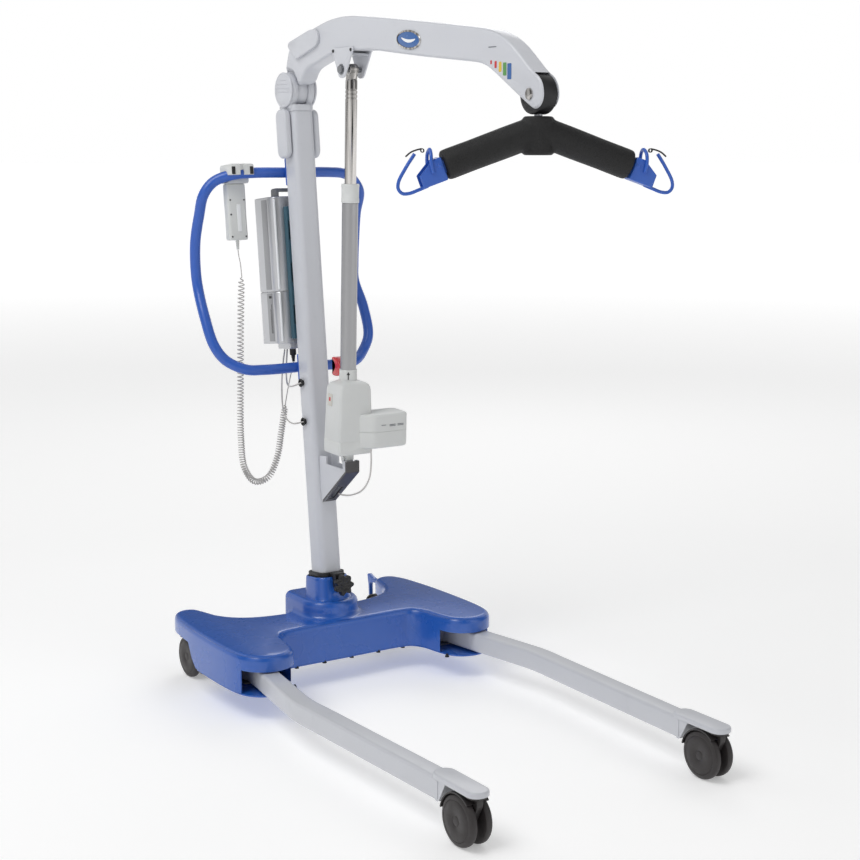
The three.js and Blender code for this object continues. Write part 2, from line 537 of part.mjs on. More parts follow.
// ---- boom ----
function boomArm() {
  const half = BOOM_WIDTH / 2;
  const profile = [
    [138, 1404], [128, 1452], [108, 1497], [9, 1522], [-56, 1536], [-100, 1541], [-150, 1542.5],
    [-240, 1535], [-450, 1513], [-640, 1491], [-690, 1484], [-730, 1470], [-764, 1451],
    [-829, 1399], [-846, 1391], [-858, 1377], [-862, 1358], [-859, 1344], [-849, 1333],
    [-836, 1329], [-822, 1333], [-698, 1405],
    [-676, 1416], [-648, 1423], [-450, 1442], [-252, 1464], [-130, 1467], [-89, 1465],
    [-20, 1447], [40, 1432], [60, 1404],
  ];
  const full = sidePlate(outline(profile), -half, half, 4);
  const inner = [
    [90, 1486], [8, 1514], [-60, 1528], [-150, 1534], [-450, 1505], [-685, 1475], [-760, 1443],
    [-797, 1415], [-772, 1376], [-700, 1417], [-648, 1431], [-450, 1450], [-252, 1472],
    [-130, 1475], [-86, 1473], [20, 1450],
  ];
  const hollow = sidePlate(outline(inner), -half + 3.5, half - 3.5);
  const cheekRoom = rod(v3(-40, PIVOT.y, PIVOT.z), v3(40, PIVOT.y, PIVOT.z), PIVOT.radius + 3, 28);
  const tongue = [[84, 1400], [90, 1440], [128, 1452], [152, 1410], [150, 1380]];
  const throat = join(rod(pinAt(-PIVOT.tongue / 2), pinAt(PIVOT.tongue / 2), 36, 28),
    sidePlate(outline(tongue), -PIVOT.tongue / 2, PIVOT.tongue / 2));
  const pinBore = rod(pinAt(-60), pinAt(60), 9.5);
  const swingAt = (x) => v3(x, SWING.y, SWING.z);
  const knuckleRoom = rod(swingAt(-17.6), swingAt(17.6), SWING.radius + 2.4, 28);
  const tipOpen = box(-17.6, 17.6, -900, SWING.y, 1300, 1398);
  const tipBelow = box(-17.6, 17.6, SWING.y - 5, SWING.y + 30, 1300, 1360);
  const tipBore = rod(swingAt(-40), swingAt(40), 6.4);
  const panels = [-1, 1].map((side) => {
    const [a, b] = [half - 1, half + 6].map((x) => side * x);
    return sidePlate(outline([[106, 1484], [104, 1496], [4, 1520], [-22, 1520], [-34, 1508],
      [-34, 1494], [-24, 1483], [66, 1457]]), Math.min(a, b), Math.max(a, b), 1);
  });
  const vent = rod(v3(0, -500, 1430), v3(0, -500, 1455), 4, 8);
  const frame = join(cut(full, cheekRoom), throat, ...panels);
  return cut(frame, hollow, knuckleRoom, tipOpen, tipBelow, pinBore, tipBore, vent);
}
part('boom_arm', boomArm(), GREY_COAT, hoist);

// Bracket under the boom: two tapering plates joined by a strap, with the actuator's bolt.
const bracketFace = [[-92, 1474], [-186, 1474], [-148, 1412], [-140, 1408], [-130, 1408], [-122, 1412]];
const bracketPlates = [-1, 1].map((side) => {
  const [a, b] = [22.3, 26.3].map((x) => side * x);
  return sidePlate(outline(bracketFace), Math.min(a, b), Math.max(a, b));
});
const strap = sidePlate(outline([[-104, 1457], [-172, 1457], [-170, 1461.5], [-106, 1461.5]]), -26.3, 26.3);
const rodPinAt = (x) => v3(x, ROD_PIN.y, ROD_PIN.z);
const bracket = cut(join(...bracketPlates, strap), rod(rodPinAt(-40), rodPinAt(40), 6.4, 12));
part('lift_bracket', bracket, GREY_COAT, hoist);
const bracketBolt = join(rod(rodPinAt(-27), rodPinAt(27), 6, 12), rod(rodPinAt(-33), rodPinAt(-26.6), 9.5, 6),
  rod(rodPinAt(26.6), rodPinAt(33), 9.5, 6));
part('lift_bracket_bolt', bracketBolt, STEEL, hoist);
const tipPin = (x) => v3(x, SWING.y, SWING.z);
const endPin = join(rod(tipPin(-23), tipPin(23), 6, 12), rod(tipPin(-25), tipPin(-22.3), 11),
  rod(tipPin(22.3), tipPin(25), 11));
part('boom_end_pin', endPin, CHROME, hoist);

// ---- lift actuator: its frame stands on the lower pin, with Z towards the upper pin ----
const reach = Math.hypot(ROD_PIN.y - LUG_PIN.y, ROD_PIN.z - LUG_PIN.z);
const actuator = new THREE.Group();
actuator.position.set(0, LUG_PIN.y, LUG_PIN.z);
actuator.rotation.x = Math.atan2(LUG_PIN.y - ROD_PIN.y, ROD_PIN.z - LUG_PIN.z);
hoist.add(actuator);

const eye = cut(join(rod(v3(-14, 0, reach), v3(14, 0, reach), 15), box(-12, 12, -11, 11, reach - 26, reach)),
  rod(v3(-30, 0, reach), v3(30, 0, reach), 6.4, 12));
const pushRod = rod(v3(0, 0, reach - 440), v3(0, 0, reach - 20), ROD_RADIUS, 20);
part('lift_rod', join(eye, pushRod), CHROME, actuator);

const tube = cut(rod(v3(0, 0, TUBE.from), v3(0, 0, TUBE.to), TUBE.outer, 20),
  rod(v3(0, 0, TUBE.from + 6), v3(0, 0, TUBE.to + 10), TUBE.inner, 20));
part('lift_tube', tube, ALUMINIUM, actuator);
const tubeCollar = cut(rod(v3(0, 0, TUBE.to + GAP), v3(0, 0, TUBE.to + 43), 20.5, 20),
  rod(v3(0, 0, TUBE.to - 10), v3(0, 0, TUBE.to + 60), TUBE.inner, 20));
part('tube_collar', tubeCollar, PALE, actuator);

// Gear housing: a tall tapering case with a motor pod on its left front.
function gearHousing() {
  const section = (halfX, front, back) => roundedRect(-halfX, halfX, -front, back, 6);
  const low = plate(section(45.5, 41, 33), 16, 48, 3);
  const taper = new THREE.CylinderGeometry(0.94, 1, 134, 4, 1).rotateX(Math.PI / 2).rotateZ(Math.PI / 4);
  const high = solid(taper).scale([45 * Math.SQRT2, 36.5 * Math.SQRT2, 1]).translate([0, -4, 45 + 65]);
  const shoulder = plate(section(38, 34, 28), 170, 182, 4);
  const neck = rod(v3(0, 0, 175), v3(0, 0, TUBE.from - GAP + 14), 20, 20);
  const podFace = [[5, -38], [40, -62], [125, -62], [131, -54], [131, 2], [120, 8], [40, 8]];
  const pod = plate(outline(podFace), 30, 110, 4);
  const lug = join(rod(v3(-9, 0, 0), v3(9, 0, 0), 14), box(-9, 9, -14, 14, 0, 30));
  const tubeRoom = rod(v3(0, 0, TUBE.from - GAP), v3(0, 0, 300), TUBE.outer + GAP, 20);
  const pin = rod(v3(-13, 0, 0), v3(13, 0, 0), 6, 12);
  const sleeve = rod(v3(0, 0, 192), v3(0, 0, 212), 20.5, 20);
  return join(cut(join(low, high, shoulder, neck, pod, lug, sleeve), tubeRoom), pin);
}
part('gear_housing', gearHousing(), PALE, actuator);

// Two-pronged red lever that lets the boom down by hand.
const prongs = outline([[12, 196], [36, 190], [52, 190], [56, 197], [44, 206], [40, 214], [46, 222],
  [57, 226], [56, 233], [44, 234], [26, 226], [12, 210]]);
const redLever = cut(sidePlate(prongs, -12, 12, 1.5), rod(v3(0, 0, 180), v3(0, 0, 230), 21.2, 20));
part('lowering_lever', redLever, RED, actuator);

// Motor lead: out of the pod's underside, round in a loop and into the gusset's hole.
const motorLeadPath = [[30, -160, 568.5], [30, -161, 540], [27, -157, 500], [18, -140, 470], [6, -112, 455],
  [0, -80, 450], [0, -62, 450]];
part('motor_lead', sweep(curve(motorLeadPath), CORD.lead, 8, 20), CORD_GREY, hoist);

// ---- swing knuckle and spreader bar ----
const knuckleBore = rod(tipPin(-40), tipPin(40), 6.4, 12);
const studRoom = rod(v3(0, SWING.y, 1290), v3(0, SWING.y, SWING.z - 12), 8.3);
const knuckle = cut(rod(tipPin(-16.8), tipPin(16.8), SWING.radius, 28), knuckleBore, studRoom);
part('swing_knuckle', knuckle, BLACK, hoist);
const studAt = (z) => v3(0, SWING.y, z);
const stud = join(rod(studAt(1262), studAt(SWING.z - 12.5), 8), rod(studAt(1256), studAt(1264), 14, 6));
part('swivel_stud', stud, STEEL, hoist);

const spreader = new THREE.Group();
spreader.position.set(0, SWING.y, 0);
spreader.rotation.z = SPREADER_TURN;
hoist.add(spreader);

// A point on one arm's axis, at a distance out from the hub and up from the axis.
function armPoint(side, out, up, across = 0) {
  const x = out * Math.cos(ARM.slope) + up * Math.sin(ARM.slope);
  return v3(side * x, across, HUB.joint - out * Math.sin(ARM.slope) + up * Math.cos(ARM.slope));
}

function onArm(side, body) {
  const turned = body.rotate([0, THREE.MathUtils.radToDeg(ARM.slope), 0]).translate([0, 0, HUB.joint]);
  return side > 0 ? turned : turned.mirror([1, 0, 0]);
}

function spreaderFrame() {
  const hub = rod(v3(0, 0, 1268), v3(0, 0, 1300), 20, 20);
  const pieces = [cut(hub, rod(v3(0, 0, 1230), v3(0, 0, 1268.5), 15.5))];
  for (const side of [-1, 1]) {
    pieces.push(onArm(side, box(10, 212, -12, 12, -12, 12)));
    const channel = cut(box(198, 248, -19, 19, -26, 19), box(216, 260, -15.5, 15.5, -22.5, 30));
    pieces.push(onArm(side, channel));
    const hook = curve([[236, -25], [262, -26], [284, -18], [291, -4], [282, 12], [262, 28], [240, 40]]
      .map(([out, up]) => [out, 0, up]));
    pieces.push(onArm(side, sweep(hook, 3.4, 6, 12)));
    const arch = curve([[222, -20.5, -4], [220, -21, 12], [214, -17, 30], [210, 0, 38], [214, 17, 30],
      [220, 21, 12], [222, 20.5, -4]]);
    pieces.push(onArm(side, sweep(arch, 3.4, 6, 10)));
  }
  const bore = rod(v3(0, 0, 1260), v3(0, 0, 1310), 8.5);
  return cut(join(...pieces), bore);
}

function spreaderFoam() {
  const hub = rod(v3(0, 0, HUB.bottom), v3(0, 0, HUB.top), ARM.hubRadius, 24);
  const arms = [-1, 1].map((side) => rod(armPoint(side, 6, 0), armPoint(side, 195, 0), ARM.radius, 20));
  const sockets = [-1, 1].map((side) => onArm(side, box(5, 230, -12.3, 12.3, -12.3, 12.3)));
  const core = rod(v3(0, 0, 1240), v3(0, 0, 1300.3), 20.3, 20);
  const mouth = rod(v3(0, 0, 1290), v3(0, 0, 1330), 9);
  return cut(join(hub, ...arms), core, mouth, ...sockets);
}
part('spreader_frame', spreaderFrame(), BLUE, spreader);
part('spreader_foam', spreaderFoam(), FOAM, spreader);

for (const [side, word] of [[-1, 'right'], [1, 'left']]) {
  const wire = curve([[224, 0, 44.3], [232, 0, 47], [246, 0, 45.4], [262, 0, 38]]);
  part(`hook_keeper_${word}`, onArm(side, sweep(wire, 1.6, 6, 8)), BLACK, spreader);
}

export default model;
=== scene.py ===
"""Patient lift hoist: the finished surfaces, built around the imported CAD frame.

Shapes are written in millimetres in the frame of the piece that they belong to (hoist, mast, actuator,
spreader or caster) and are placed in the CAD frame, in metres, when their object is made.
"""

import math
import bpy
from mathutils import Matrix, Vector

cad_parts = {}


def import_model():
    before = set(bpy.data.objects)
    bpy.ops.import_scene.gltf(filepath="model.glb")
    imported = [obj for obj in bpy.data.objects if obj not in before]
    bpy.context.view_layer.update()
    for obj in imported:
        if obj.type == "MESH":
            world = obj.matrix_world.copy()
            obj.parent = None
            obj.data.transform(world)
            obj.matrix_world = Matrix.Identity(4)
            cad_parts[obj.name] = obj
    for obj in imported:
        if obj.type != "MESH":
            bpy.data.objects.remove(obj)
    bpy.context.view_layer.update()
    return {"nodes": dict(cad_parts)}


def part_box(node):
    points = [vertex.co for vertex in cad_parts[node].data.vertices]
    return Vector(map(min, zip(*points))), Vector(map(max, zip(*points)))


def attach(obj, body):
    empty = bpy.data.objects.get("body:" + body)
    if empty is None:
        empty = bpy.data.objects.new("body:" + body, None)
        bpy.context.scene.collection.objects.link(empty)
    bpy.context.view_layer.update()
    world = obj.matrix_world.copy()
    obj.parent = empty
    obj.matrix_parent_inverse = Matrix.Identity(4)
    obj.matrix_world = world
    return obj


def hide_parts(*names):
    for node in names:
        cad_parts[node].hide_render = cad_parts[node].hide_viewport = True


bl_info = {
    "name": "Patient Lift Hoist",
    "version": (1, 0, 0),
    "blender": (4, 5, 0),
    "location": "View3D > Sidebar > Hoist",
    "description": "Builds the finished surfaces of a mobile patient lift around its CAD frame",
    "category": "Add Mesh",
}

import bmesh
import bpy
from mathutils import Matrix, Vector

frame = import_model()

# ---- places of the main sub-assemblies, from the frame ----
MM = 0.001
LEAN = math.radians(6)
FOOT_Z = 246
POST = {"width": 56, "depth": 62, "round": 14, "wall": 3, "bottom": -150, "top": 1097}
PIVOT = {"y": 121, "z": 1388, "tongue": 25, "cheek": 30, "radius": 40}
BOOM_WIDTH = 44
ROD_PIN = {"y": -135, "z": 1427}
LUG_PIN = {"y": -103, "z": 541}
SWING = {"y": -821, "z": 1358, "radius": 38}
SPREADER_TURN = math.radians(-22)
ARM_SLOPE = math.radians(20)
HUB = {"top": 1317, "bottom": 1244, "joint": 1291}
HUMP = {"radius": 72, "centre": -6, "back": 95, "round": 26}
LEG = {"x": 267, "y": -120, "bottom": 64.3, "top": 110.3, "half_width": 22}
FRONT_CASTER = (297.7, -1051.7)
REAR_CASTER = (283, 168)
CASTER = {"wheel": 50, "trail": 29, "top": 105.7}
BOX = {"half_width": 60, "front": 46, "back": 150, "bottom": 555, "split": 680, "top": 905, "round": 25}
HANDSET = {"x": -137, "back": 84, "low": 806, "high": 938, "width": 51, "thick": 25}
HANDLE_BACK = 50
GROMMETS = (460, 367)


def middle(node):
    low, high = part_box(node)
    return (Vector(low) + Vector(high)) / 2


FOOT_Y = middle("swing_knuckle").y - SWING["y"] * MM
HOIST = Matrix.Translation((0, FOOT_Y, 0)) @ Matrix.Scale(MM, 4)
LEANING = Matrix.Translation((0, 0, FOOT_Z)) @ Matrix.Rotation(-LEAN, 4, "X")
MAST = HOIST @ LEANING
REACH = math.hypot(ROD_PIN["y"] - LUG_PIN["y"], ROD_PIN["z"] - LUG_PIN["z"])
TIP = math.atan2(LUG_PIN["y"] - ROD_PIN["y"], ROD_PIN["z"] - LUG_PIN["z"])
ACTUATOR = HOIST @ Matrix.Translation((0, LUG_PIN["y"], LUG_PIN["z"])) @ Matrix.Rotation(TIP, 4, "X")
SPREADER = HOIST @ Matrix.Translation((0, SWING["y"], 0)) @ Matrix.Rotation(SPREADER_TURN, 4, "Z")
DROP = Matrix.Translation((0, 0, HUB["joint"])) @ Matrix.Rotation(ARM_SLOPE, 4, "Y")
SIDEWAYS = Matrix(((0, 0, 1, 0), (1, 0, 0, 0), (0, 1, 0, 0), (0, 0, 0, 1)))   # outline in Y, Z; thick in X
RIGHT_LEFT = ((-1, "right"), (1, "left"))


def sided(side):
    """The mirror in X for the right side, and no change for the left."""
    return Matrix.Scale(-1, 4, (1, 0, 0)) if side < 0 else Matrix.Identity(4)


def span(side, near, far):
    """Two distances from the middle as a low and a high X on one side."""
    return sorted((side * near, side * far))


def arm(side):
    """Frame of one spreader arm: X runs out along the arm, Z is up from its axis."""
    return SPREADER @ sided(side) @ DROP


def on_mast(x, back, up):
    """A point up the mast and behind its axis, in the hoist's frame."""
    y = back * math.cos(LEAN) + up * math.sin(LEAN)
    return (x, y, FOOT_Z + up * math.cos(LEAN) - back * math.sin(LEAN))


# ---- outlines and paths ----
def circle(radius, sides=48, centre=(0, 0), start=0.0, end=2 * math.pi):
    """A full circle, or the arc from start to end with both its end points."""
    whole = abs(end - start - 2 * math.pi) < 1e-6
    count = sides if whole else sides - 1
    angles = [start + (end - start) * i / count for i in range(sides)]
    return [(centre[0] + radius * math.cos(a), centre[1] + radius * math.sin(a)) for a in angles]


def rounded(x0, x1, y0, y1, radius, steps=8):
    """A rectangle with round corners."""
    points = []
    corners = ((x1, y1, -1, -1), (x0, y1, 1, -1), (x0, y0, 1, 1), (x1, y0, -1, 1))
    for turn, (x, y, sx, sy) in enumerate(corners):
        centre = (x + sx * radius, y + sy * radius)
        points += circle(radius, steps + 1, centre, turn * math.pi / 2, (turn + 1) * math.pi / 2)
    return points


def post_section(grow, steps=8):
    """The mast's section, grown or shrunk all round."""
    w, d = POST["width"] / 2 + grow, POST["depth"] / 2 + grow
    return rounded(-w, w, -d, d, max(POST["round"] + grow, 1), steps)


def eased(points, radius, steps=5, closed=True):
    """A polygon with each corner rounded by a quadratic arc that starts radius before it."""
    points = [Vector(p) for p in points]
    count, out = len(points), []
    for i, corner in enumerate(points):
        if not closed and i in (0, count - 1):
            out.append(tuple(corner))
            continue
        before, after = points[i - 1] - corner, points[(i + 1) % count] - corner
        a = corner + before.normalized() * min(radius, before.length * 0.48)
        b = corner + after.normalized() * min(radius, after.length * 0.48)
        for k in range(steps + 1):
            t = k / steps
            out.append(tuple(a * (1 - t) ** 2 + corner * 2 * t * (1 - t) + b * t * t))
    return out


def flowing(points, per=6, closed=False):
    """A centripetal Catmull-Rom curve through the points."""
    p = [Vector(q) for q in points]
    count = len(p)
    padded = p if closed else [p[0] * 2 - p[1]] + p + [p[-1] * 2 - p[-2]]

    def blend(a, b, ta, tb, t):
        return a * ((tb - t) / (tb - ta)) + b * ((t - ta) / (tb - ta))

    out = []
    for i in range(count if closed else count - 1):
        four = [padded[(i - 1 + k) % count] for k in range(4)] if closed else padded[i:i + 4]
        k = [0.0]
        for a, b in zip(four, four[1:]):
            k.append(k[-1] + max((b - a).length, 1e-6) ** 0.5)
        for step in range(per):
            t = k[1] + (k[2] - k[1]) * step / per
            a = [blend(four[j], four[j + 1], k[j], k[j + 1], t) for j in range(3)]
            b = [blend(a[j], a[j + 1], k[j], k[j + 2], t) for j in range(2)]
            out.append(tuple(blend(b[0], b[1], k[1], k[2], t)))
    return out if closed else out + [tuple(p[-1])]


def inset(points, by):
    """A counter-clockwise outline drawn in by a distance."""
    count, out = len(points), []
    for i, (x, y) in enumerate(points):
        (x0, y0), (x1, y1) = points[i - 1], points[(i + 1) % count]
        length = math.hypot(x1 - x0, y1 - y0) or 1
        out.append((x - (y1 - y0) / length * by, y + (x1 - x0) / length * by))
    return out


def counter_clockwise(points):
    """An outline in the order that inset and slab expect."""
    area = sum(a[0] * b[1] - b[0] * a[1] for a, b in zip(points, points[1:] + points[:1]))
    return points if area > 0 else points[::-1]


def path_length(points):
    return sum((Vector(b) - Vector(a)).length for a, b in zip(points, points[1:]))


# ---- solids ----
def from_bmesh(bm):
    bmesh.ops.remove_doubles(bm, verts=bm.verts, dist=1e-4)
    bmesh.ops.recalc_face_normals(bm, faces=bm.faces)
    mesh = bpy.data.meshes.new("Solid")
    bm.to_mesh(mesh)
    bm.free()
    return mesh


def loft(rings, closed=False):
    """Skin rings of equally many points; its ends are filled unless the rings close on themselves."""
    bm = bmesh.new()
    rows = [[bm.verts.new(p) for p in ring] for ring in rings]
    for a, b in list(zip(rows, rows[1:])) + ([(rows[-1], rows[0])] if closed else []):
        for i in range(len(a)):
            j = (i + 1) % len(a)
            bm.faces.new((a[i], a[j], b[j], b[i]))
    if not closed:
        bm.faces.new(rows[0][::-1])
        bm.faces.new(rows[-1])
    return from_bmesh(bm)


def put_in_scene(name, data):
    obj = bpy.data.objects.new(name, data)
    bpy.context.scene.collection.objects.link(obj)
    return obj


def applied(obj, *helpers):
    """The mesh that an object's modifiers give; the object and its helpers are then removed."""
    graph = bpy.context.evaluated_depsgraph_get()
    mesh = bpy.data.meshes.new_from_object(obj.evaluated_get(graph))
    for used in (obj, *helpers):
        bpy.data.objects.remove(used)
    return mesh


def combine(operation, body, tools):
    """One boolean of several closed meshes, which are used up."""
    if not tools:
        return body
    whole, *others = [put_in_scene("Solid", mesh) for mesh in (body, *tools)]
    for tool in others:
        modifier = whole.modifiers.new("Cut", "BOOLEAN")
        modifier.operation = operation
        modifier.solver = "MANIFOLD"
        modifier.object = tool
    mesh = applied(whole, *others)
    if not mesh.polygons:
        raise RuntimeError(f"boolean {operation} left nothing")
    return mesh


def join(body, *others):
    return combine("UNION", body, others)


def cut(body, *others):
    return combine("DIFFERENCE", body, others)


def moved(mesh, matrix):
    mesh = mesh.copy()
    mesh.transform(matrix)
    if matrix.determinant() < 0:
        mesh.flip_normals()
    return mesh


def stacked(outline, levels):
    """An outline skinned through levels, each a pair of how far it is drawn in and its height."""
    return loft([[(x, y, z) for x, y in inset(outline, by)] for by, z in levels])


def slab(outline, z0, z1, top=0.0, foot=0.0, steps=4):
    """An outline raised from z0 to z1, with its top and foot edges rounded by a radius."""
    rings = []
    for k in range(steps if foot else 0):
        a = math.pi / 2 * k / steps
        rings.append((foot * (1 - math.sin(a)), z0 + foot * (1 - math.cos(a))))
    rings += [(0, z0 + foot), (0, z1 - top)]
    for k in range(1, steps + 1 if top else 1):
        a = math.pi / 2 * k / steps
        rings.append((top * (1 - math.cos(a)), z1 - top * (1 - math.sin(a))))
    return stacked(outline, rings)


def side_slab(outline, x0, x1, edge=0.0, steps=3):
    """An outline in Y and Z, made thick along X."""
    return moved(slab(outline, x0, x1, edge, edge, steps), SIDEWAYS)


def block(x0, x1, y0, y1, z0, z1, edge=0.0):
    """A box whose edges are rounded all round."""
    if not edge:
        return loft([[(x, y, z) for x, y in ((x0, y0), (x1, y0), (x1, y1), (x0, y1))] for z in (z0, z1)])
    return slab(rounded(x0, x1, y0, y1, edge, 4), z0, z1, edge * 0.98, edge * 0.98, 4)


def turned(profile, sides=48, start=(0, 0, 0), along=(0, 0, 1), closed=False):
    """A lathe shape from pairs of radius and distance along the axis; a closed profile makes a ring."""
    turn = Vector((0, 0, 1)).rotation_difference(Vector(along)).to_matrix().to_4x4()
    rings = [[(x, y, z) for x, y in circle(max(r, 1e-6), sides)] for r, z in profile]
    return moved(loft(rings, closed), Matrix.Translation(start) @ turn)


def rod(a, b, radius, edge=0.6, sides=40):
    """A round bar with chamfered ends, or square ones where edge is 0."""
    along = Vector(b) - Vector(a)
    half = [(0, 0), (radius - edge, 0), (radius, edge)] if edge else [(0, 0), (radius, 0)]
    profile = half + [(r, along.length - z) for r, z in half[::-1]]
    return turned(profile, sides, a, along)


def swept(path, section, closed=False, start_normal=None):
    """A section swept along a path without twisting."""
    points = [Vector(p) for p in path]
    count = len(points)
    tangents = []
    for i in range(count):
        a = points[i - 1] if closed or i else points[0]
        b = points[(i + 1) % count] if closed or i < count - 1 else points[-1]
        tangents.append((b - a).normalized())
    normal = Vector(start_normal or tangents[0].orthogonal())
    rings = []
    for i, tangent in enumerate(tangents):
        if i:
            normal = tangents[i - 1].rotation_difference(tangent) @ normal
        normal = (normal - tangent * normal.dot(tangent)).normalized()
        other = tangent.cross(normal)
        rings.append([tuple(points[i] + normal * x + other * y) for x, y in section])
    return loft(rings, closed)


def tube(path, radius, sides=20, closed=False):
    return swept(path, circle(radius, sides), closed)


# ---- shader maths ----
class Field:
    """A value over the surface. Arithmetic on it adds Math nodes."""

    def __init__(self, look, socket):
        self.look, self.socket = look, socket

    def math(self, operation, *values):
        return self.look.node("ShaderNodeMath", {"operation": operation}, *values)

    def __add__(self, other):
        return self.math("ADD", self, other)

    def __sub__(self, other):
        return self.math("SUBTRACT", self, other)

    def __rsub__(self, other):
        return self.math("SUBTRACT", other, self)

    def __mul__(self, other):
        return self.math("MULTIPLY", self, other)

    __radd__ = __add__
    __rmul__ = __mul__


class Look:
    """One procedural material on a Principled shader."""

    def __init__(self, name, colour, roughness, metallic=0.0):
        self.material = bpy.data.materials.new(name)
        self.material.use_nodes = True
        self.material.diffuse_color = (*colour, 1)
        self.tree = self.material.node_tree
        self.shader = self.tree.nodes["Principled BSDF"]
        self.colour = colour
        self.set("Base Color", (*colour, 1))
        self.set("Roughness", roughness)
        self.set("Metallic", metallic)
        coordinates = self.tree.nodes.new("ShaderNodeTexCoord")
        self.place = Field(self, coordinates.outputs["Object"])

    def put(self, value, socket):
        if isinstance(value, Field):
            self.tree.links.new(value.socket, socket)
        else:
            socket.default_value = value

    def node(self, kind, settings, *values, out=0, **named):
        made = self.tree.nodes.new(kind)
        for key, value in settings.items():
            setattr(made, key, value)
        for socket, value in zip(made.inputs, values):
            self.put(value, socket)
        for key, value in named.items():
            self.put(value, made.inputs[key.replace("_", " ")])
        return Field(self, made.outputs[out])

    def set(self, socket, value):
        self.put(value, self.shader.inputs[socket])

    def noise(self, scale, detail=3.0, stretch=None):
        place = self.place
        if stretch:
            place = self.node("ShaderNodeMapping", {}, Vector=place, Scale=stretch)
        return self.node("ShaderNodeTexNoise", {}, Vector=place, Scale=scale, Detail=detail)

    def mix(self, factor, a, b):
        mixer = self.tree.nodes.new("ShaderNodeMix")
        mixer.data_type = "RGBA"
        for index, value in ((0, factor), (6, a), (7, b)):
            self.put(value, mixer.inputs[index])
        return Field(self, mixer.outputs[2])

    def shade(self, amount):
        """This look's own colour, darker or lighter by a share."""
        return (*[min(1.0, c * (1 + amount)) for c in self.colour], 1)

    def coat(self, weight, roughness):
        self.shader.inputs["Coat Weight"].default_value = weight
        self.shader.inputs["Coat Roughness"].default_value = roughness

    def bump(self, height, strength, depth):
        normal = self.node("ShaderNodeBump", {}, Strength=strength, Distance=depth, Height=height)
        self.set("Normal", normal)


def sharpened(field, low, high):
    """A field's values from low to high spread over 0 to 1."""
    return field.look.node("ShaderNodeMapRange", {}, Value=field, From_Min=low, From_Max=high)


def painted(name, colour, roughness=0.36):
    """Powder coat: faint orange peel, slow drifts of tone and gloss, and a few dull rubs."""
    look = Look(name, colour, roughness)
    drift = look.noise(5.0, 2.0)
    rubs = sharpened(look.noise(38.0, 6.0), 0.60, 0.75)
    tone = look.mix(drift, look.shade(-0.05), look.shade(0.05))
    look.set("Base Color", look.mix(rubs * 0.25, tone, look.shade(-0.12)))
    look.set("Roughness", roughness - 0.04 + drift * 0.08 + rubs * 0.10)
    look.coat(0.25, 0.18)
    look.bump(look.noise(620.0, 2.0), 0.12, 0.0004)
    return look.material


def moulded(name, colour, roughness=0.45):
    """Injection-moulded plastic with a fine spark-eroded grain."""
    look = Look(name, colour, roughness)
    drift = look.noise(9.0, 3.0)
    smudge = sharpened(look.noise(26.0, 5.0), 0.55, 0.8)
    look.set("Base Color", look.mix(drift, look.shade(-0.06), look.shade(0.05)))
    look.set("Roughness", roughness - 0.05 + drift * 0.10 + smudge * 0.06)
    look.bump(look.noise(1400.0, 2.0), 0.18, 0.0003)
    return look.material


def glossy(name, colour):
    """Glossy moulding with slight sink waves and a patchy haze."""
    look = Look(name, colour, 0.24)
    drift = look.noise(4.0, 2.0)
    haze = look.noise(14.0, 3.0)
    look.set("Base Color", look.mix(drift, look.shade(-0.06), look.shade(0.06)))
    look.set("Roughness", 0.20 + drift * 0.06 + haze * 0.08)
    look.coat(0.5, 0.08)
    look.bump(look.noise(24.0, 2.0), 0.08, 0.002)
    return look.material


def satin(name, colour):
    """Silvery metallic paint: long soft reflections and fine flake."""
    look = Look(name, colour, 0.3, 0.75)
    flake = look.noise(1900.0, 1.0)
    drift = look.noise(6.0, 2.0)
    look.set("Base Color", look.mix(flake, look.shade(-0.06), look.shade(0.08)))
    look.set("Roughness", 0.26 + drift * 0.08 + flake * 0.06)
    look.coat(0.3, 0.15)
    look.bump(flake, 0.08, 0.0002)
    return look.material


def polished(name, colour, roughness=0.09):
    """Chrome with painted reflections as upright dark and bright streaks, faint lines in the gloss and finger
    marks.
    """
    look = Look(name, colour, roughness, 1.0)
    lines = sharpened(look.noise(30.0, 2.0, (4.0, 4.0, 0.05)), 0.38, 0.62)
    marks = sharpened(look.noise(30.0, 4.0), 0.55, 0.8)
    # Painted reflection: the streaks darken the colour a lot and lighten it a little, standing in for dark
    # and bright surroundings mirrored in the chrome.
    look.set("Base Color", look.mix(lines, look.shade(-0.62), look.shade(0.10)))
    look.set("Roughness", roughness + lines * 0.04 + marks * 0.06)
    return look.material


def brushed(name, colour, roughness=0.32):
    """Metal drawn or ground along one direction."""
    look = Look(name, colour, roughness, 1.0)
    lines = look.noise(70.0, 4.0, (20.0, 20.0, 0.5))
    spots = sharpened(look.noise(22.0, 4.0), 0.5, 0.9)
    look.set("Base Color", look.mix(lines, look.shade(-0.14), look.shade(0.08)))
    look.set("Roughness", roughness - 0.08 + lines * 0.16 + spots * 0.08)
    look.bump(lines, 0.06, 0.0003)
    return look.material


def tyre(name, colour):
    """Wheel moulding: scuffed tread and dust caught in the grain."""
    look = Look(name, colour, 0.55)
    dust = sharpened(look.noise(70.0, 6.0), 0.42, 0.8)
    scuffs = sharpened(look.noise(240.0, 3.0), 0.55, 0.75)
    look.set("Base Color", look.mix(dust * 0.2, look.shade(-0.08), look.shade(0.45)))
    look.set("Roughness", 0.46 + dust * 0.16 + scuffs * 0.12)
    look.bump(look.noise(900.0, 3.0) + scuffs * 0.4, 0.25, 0.0004)
    return look.material


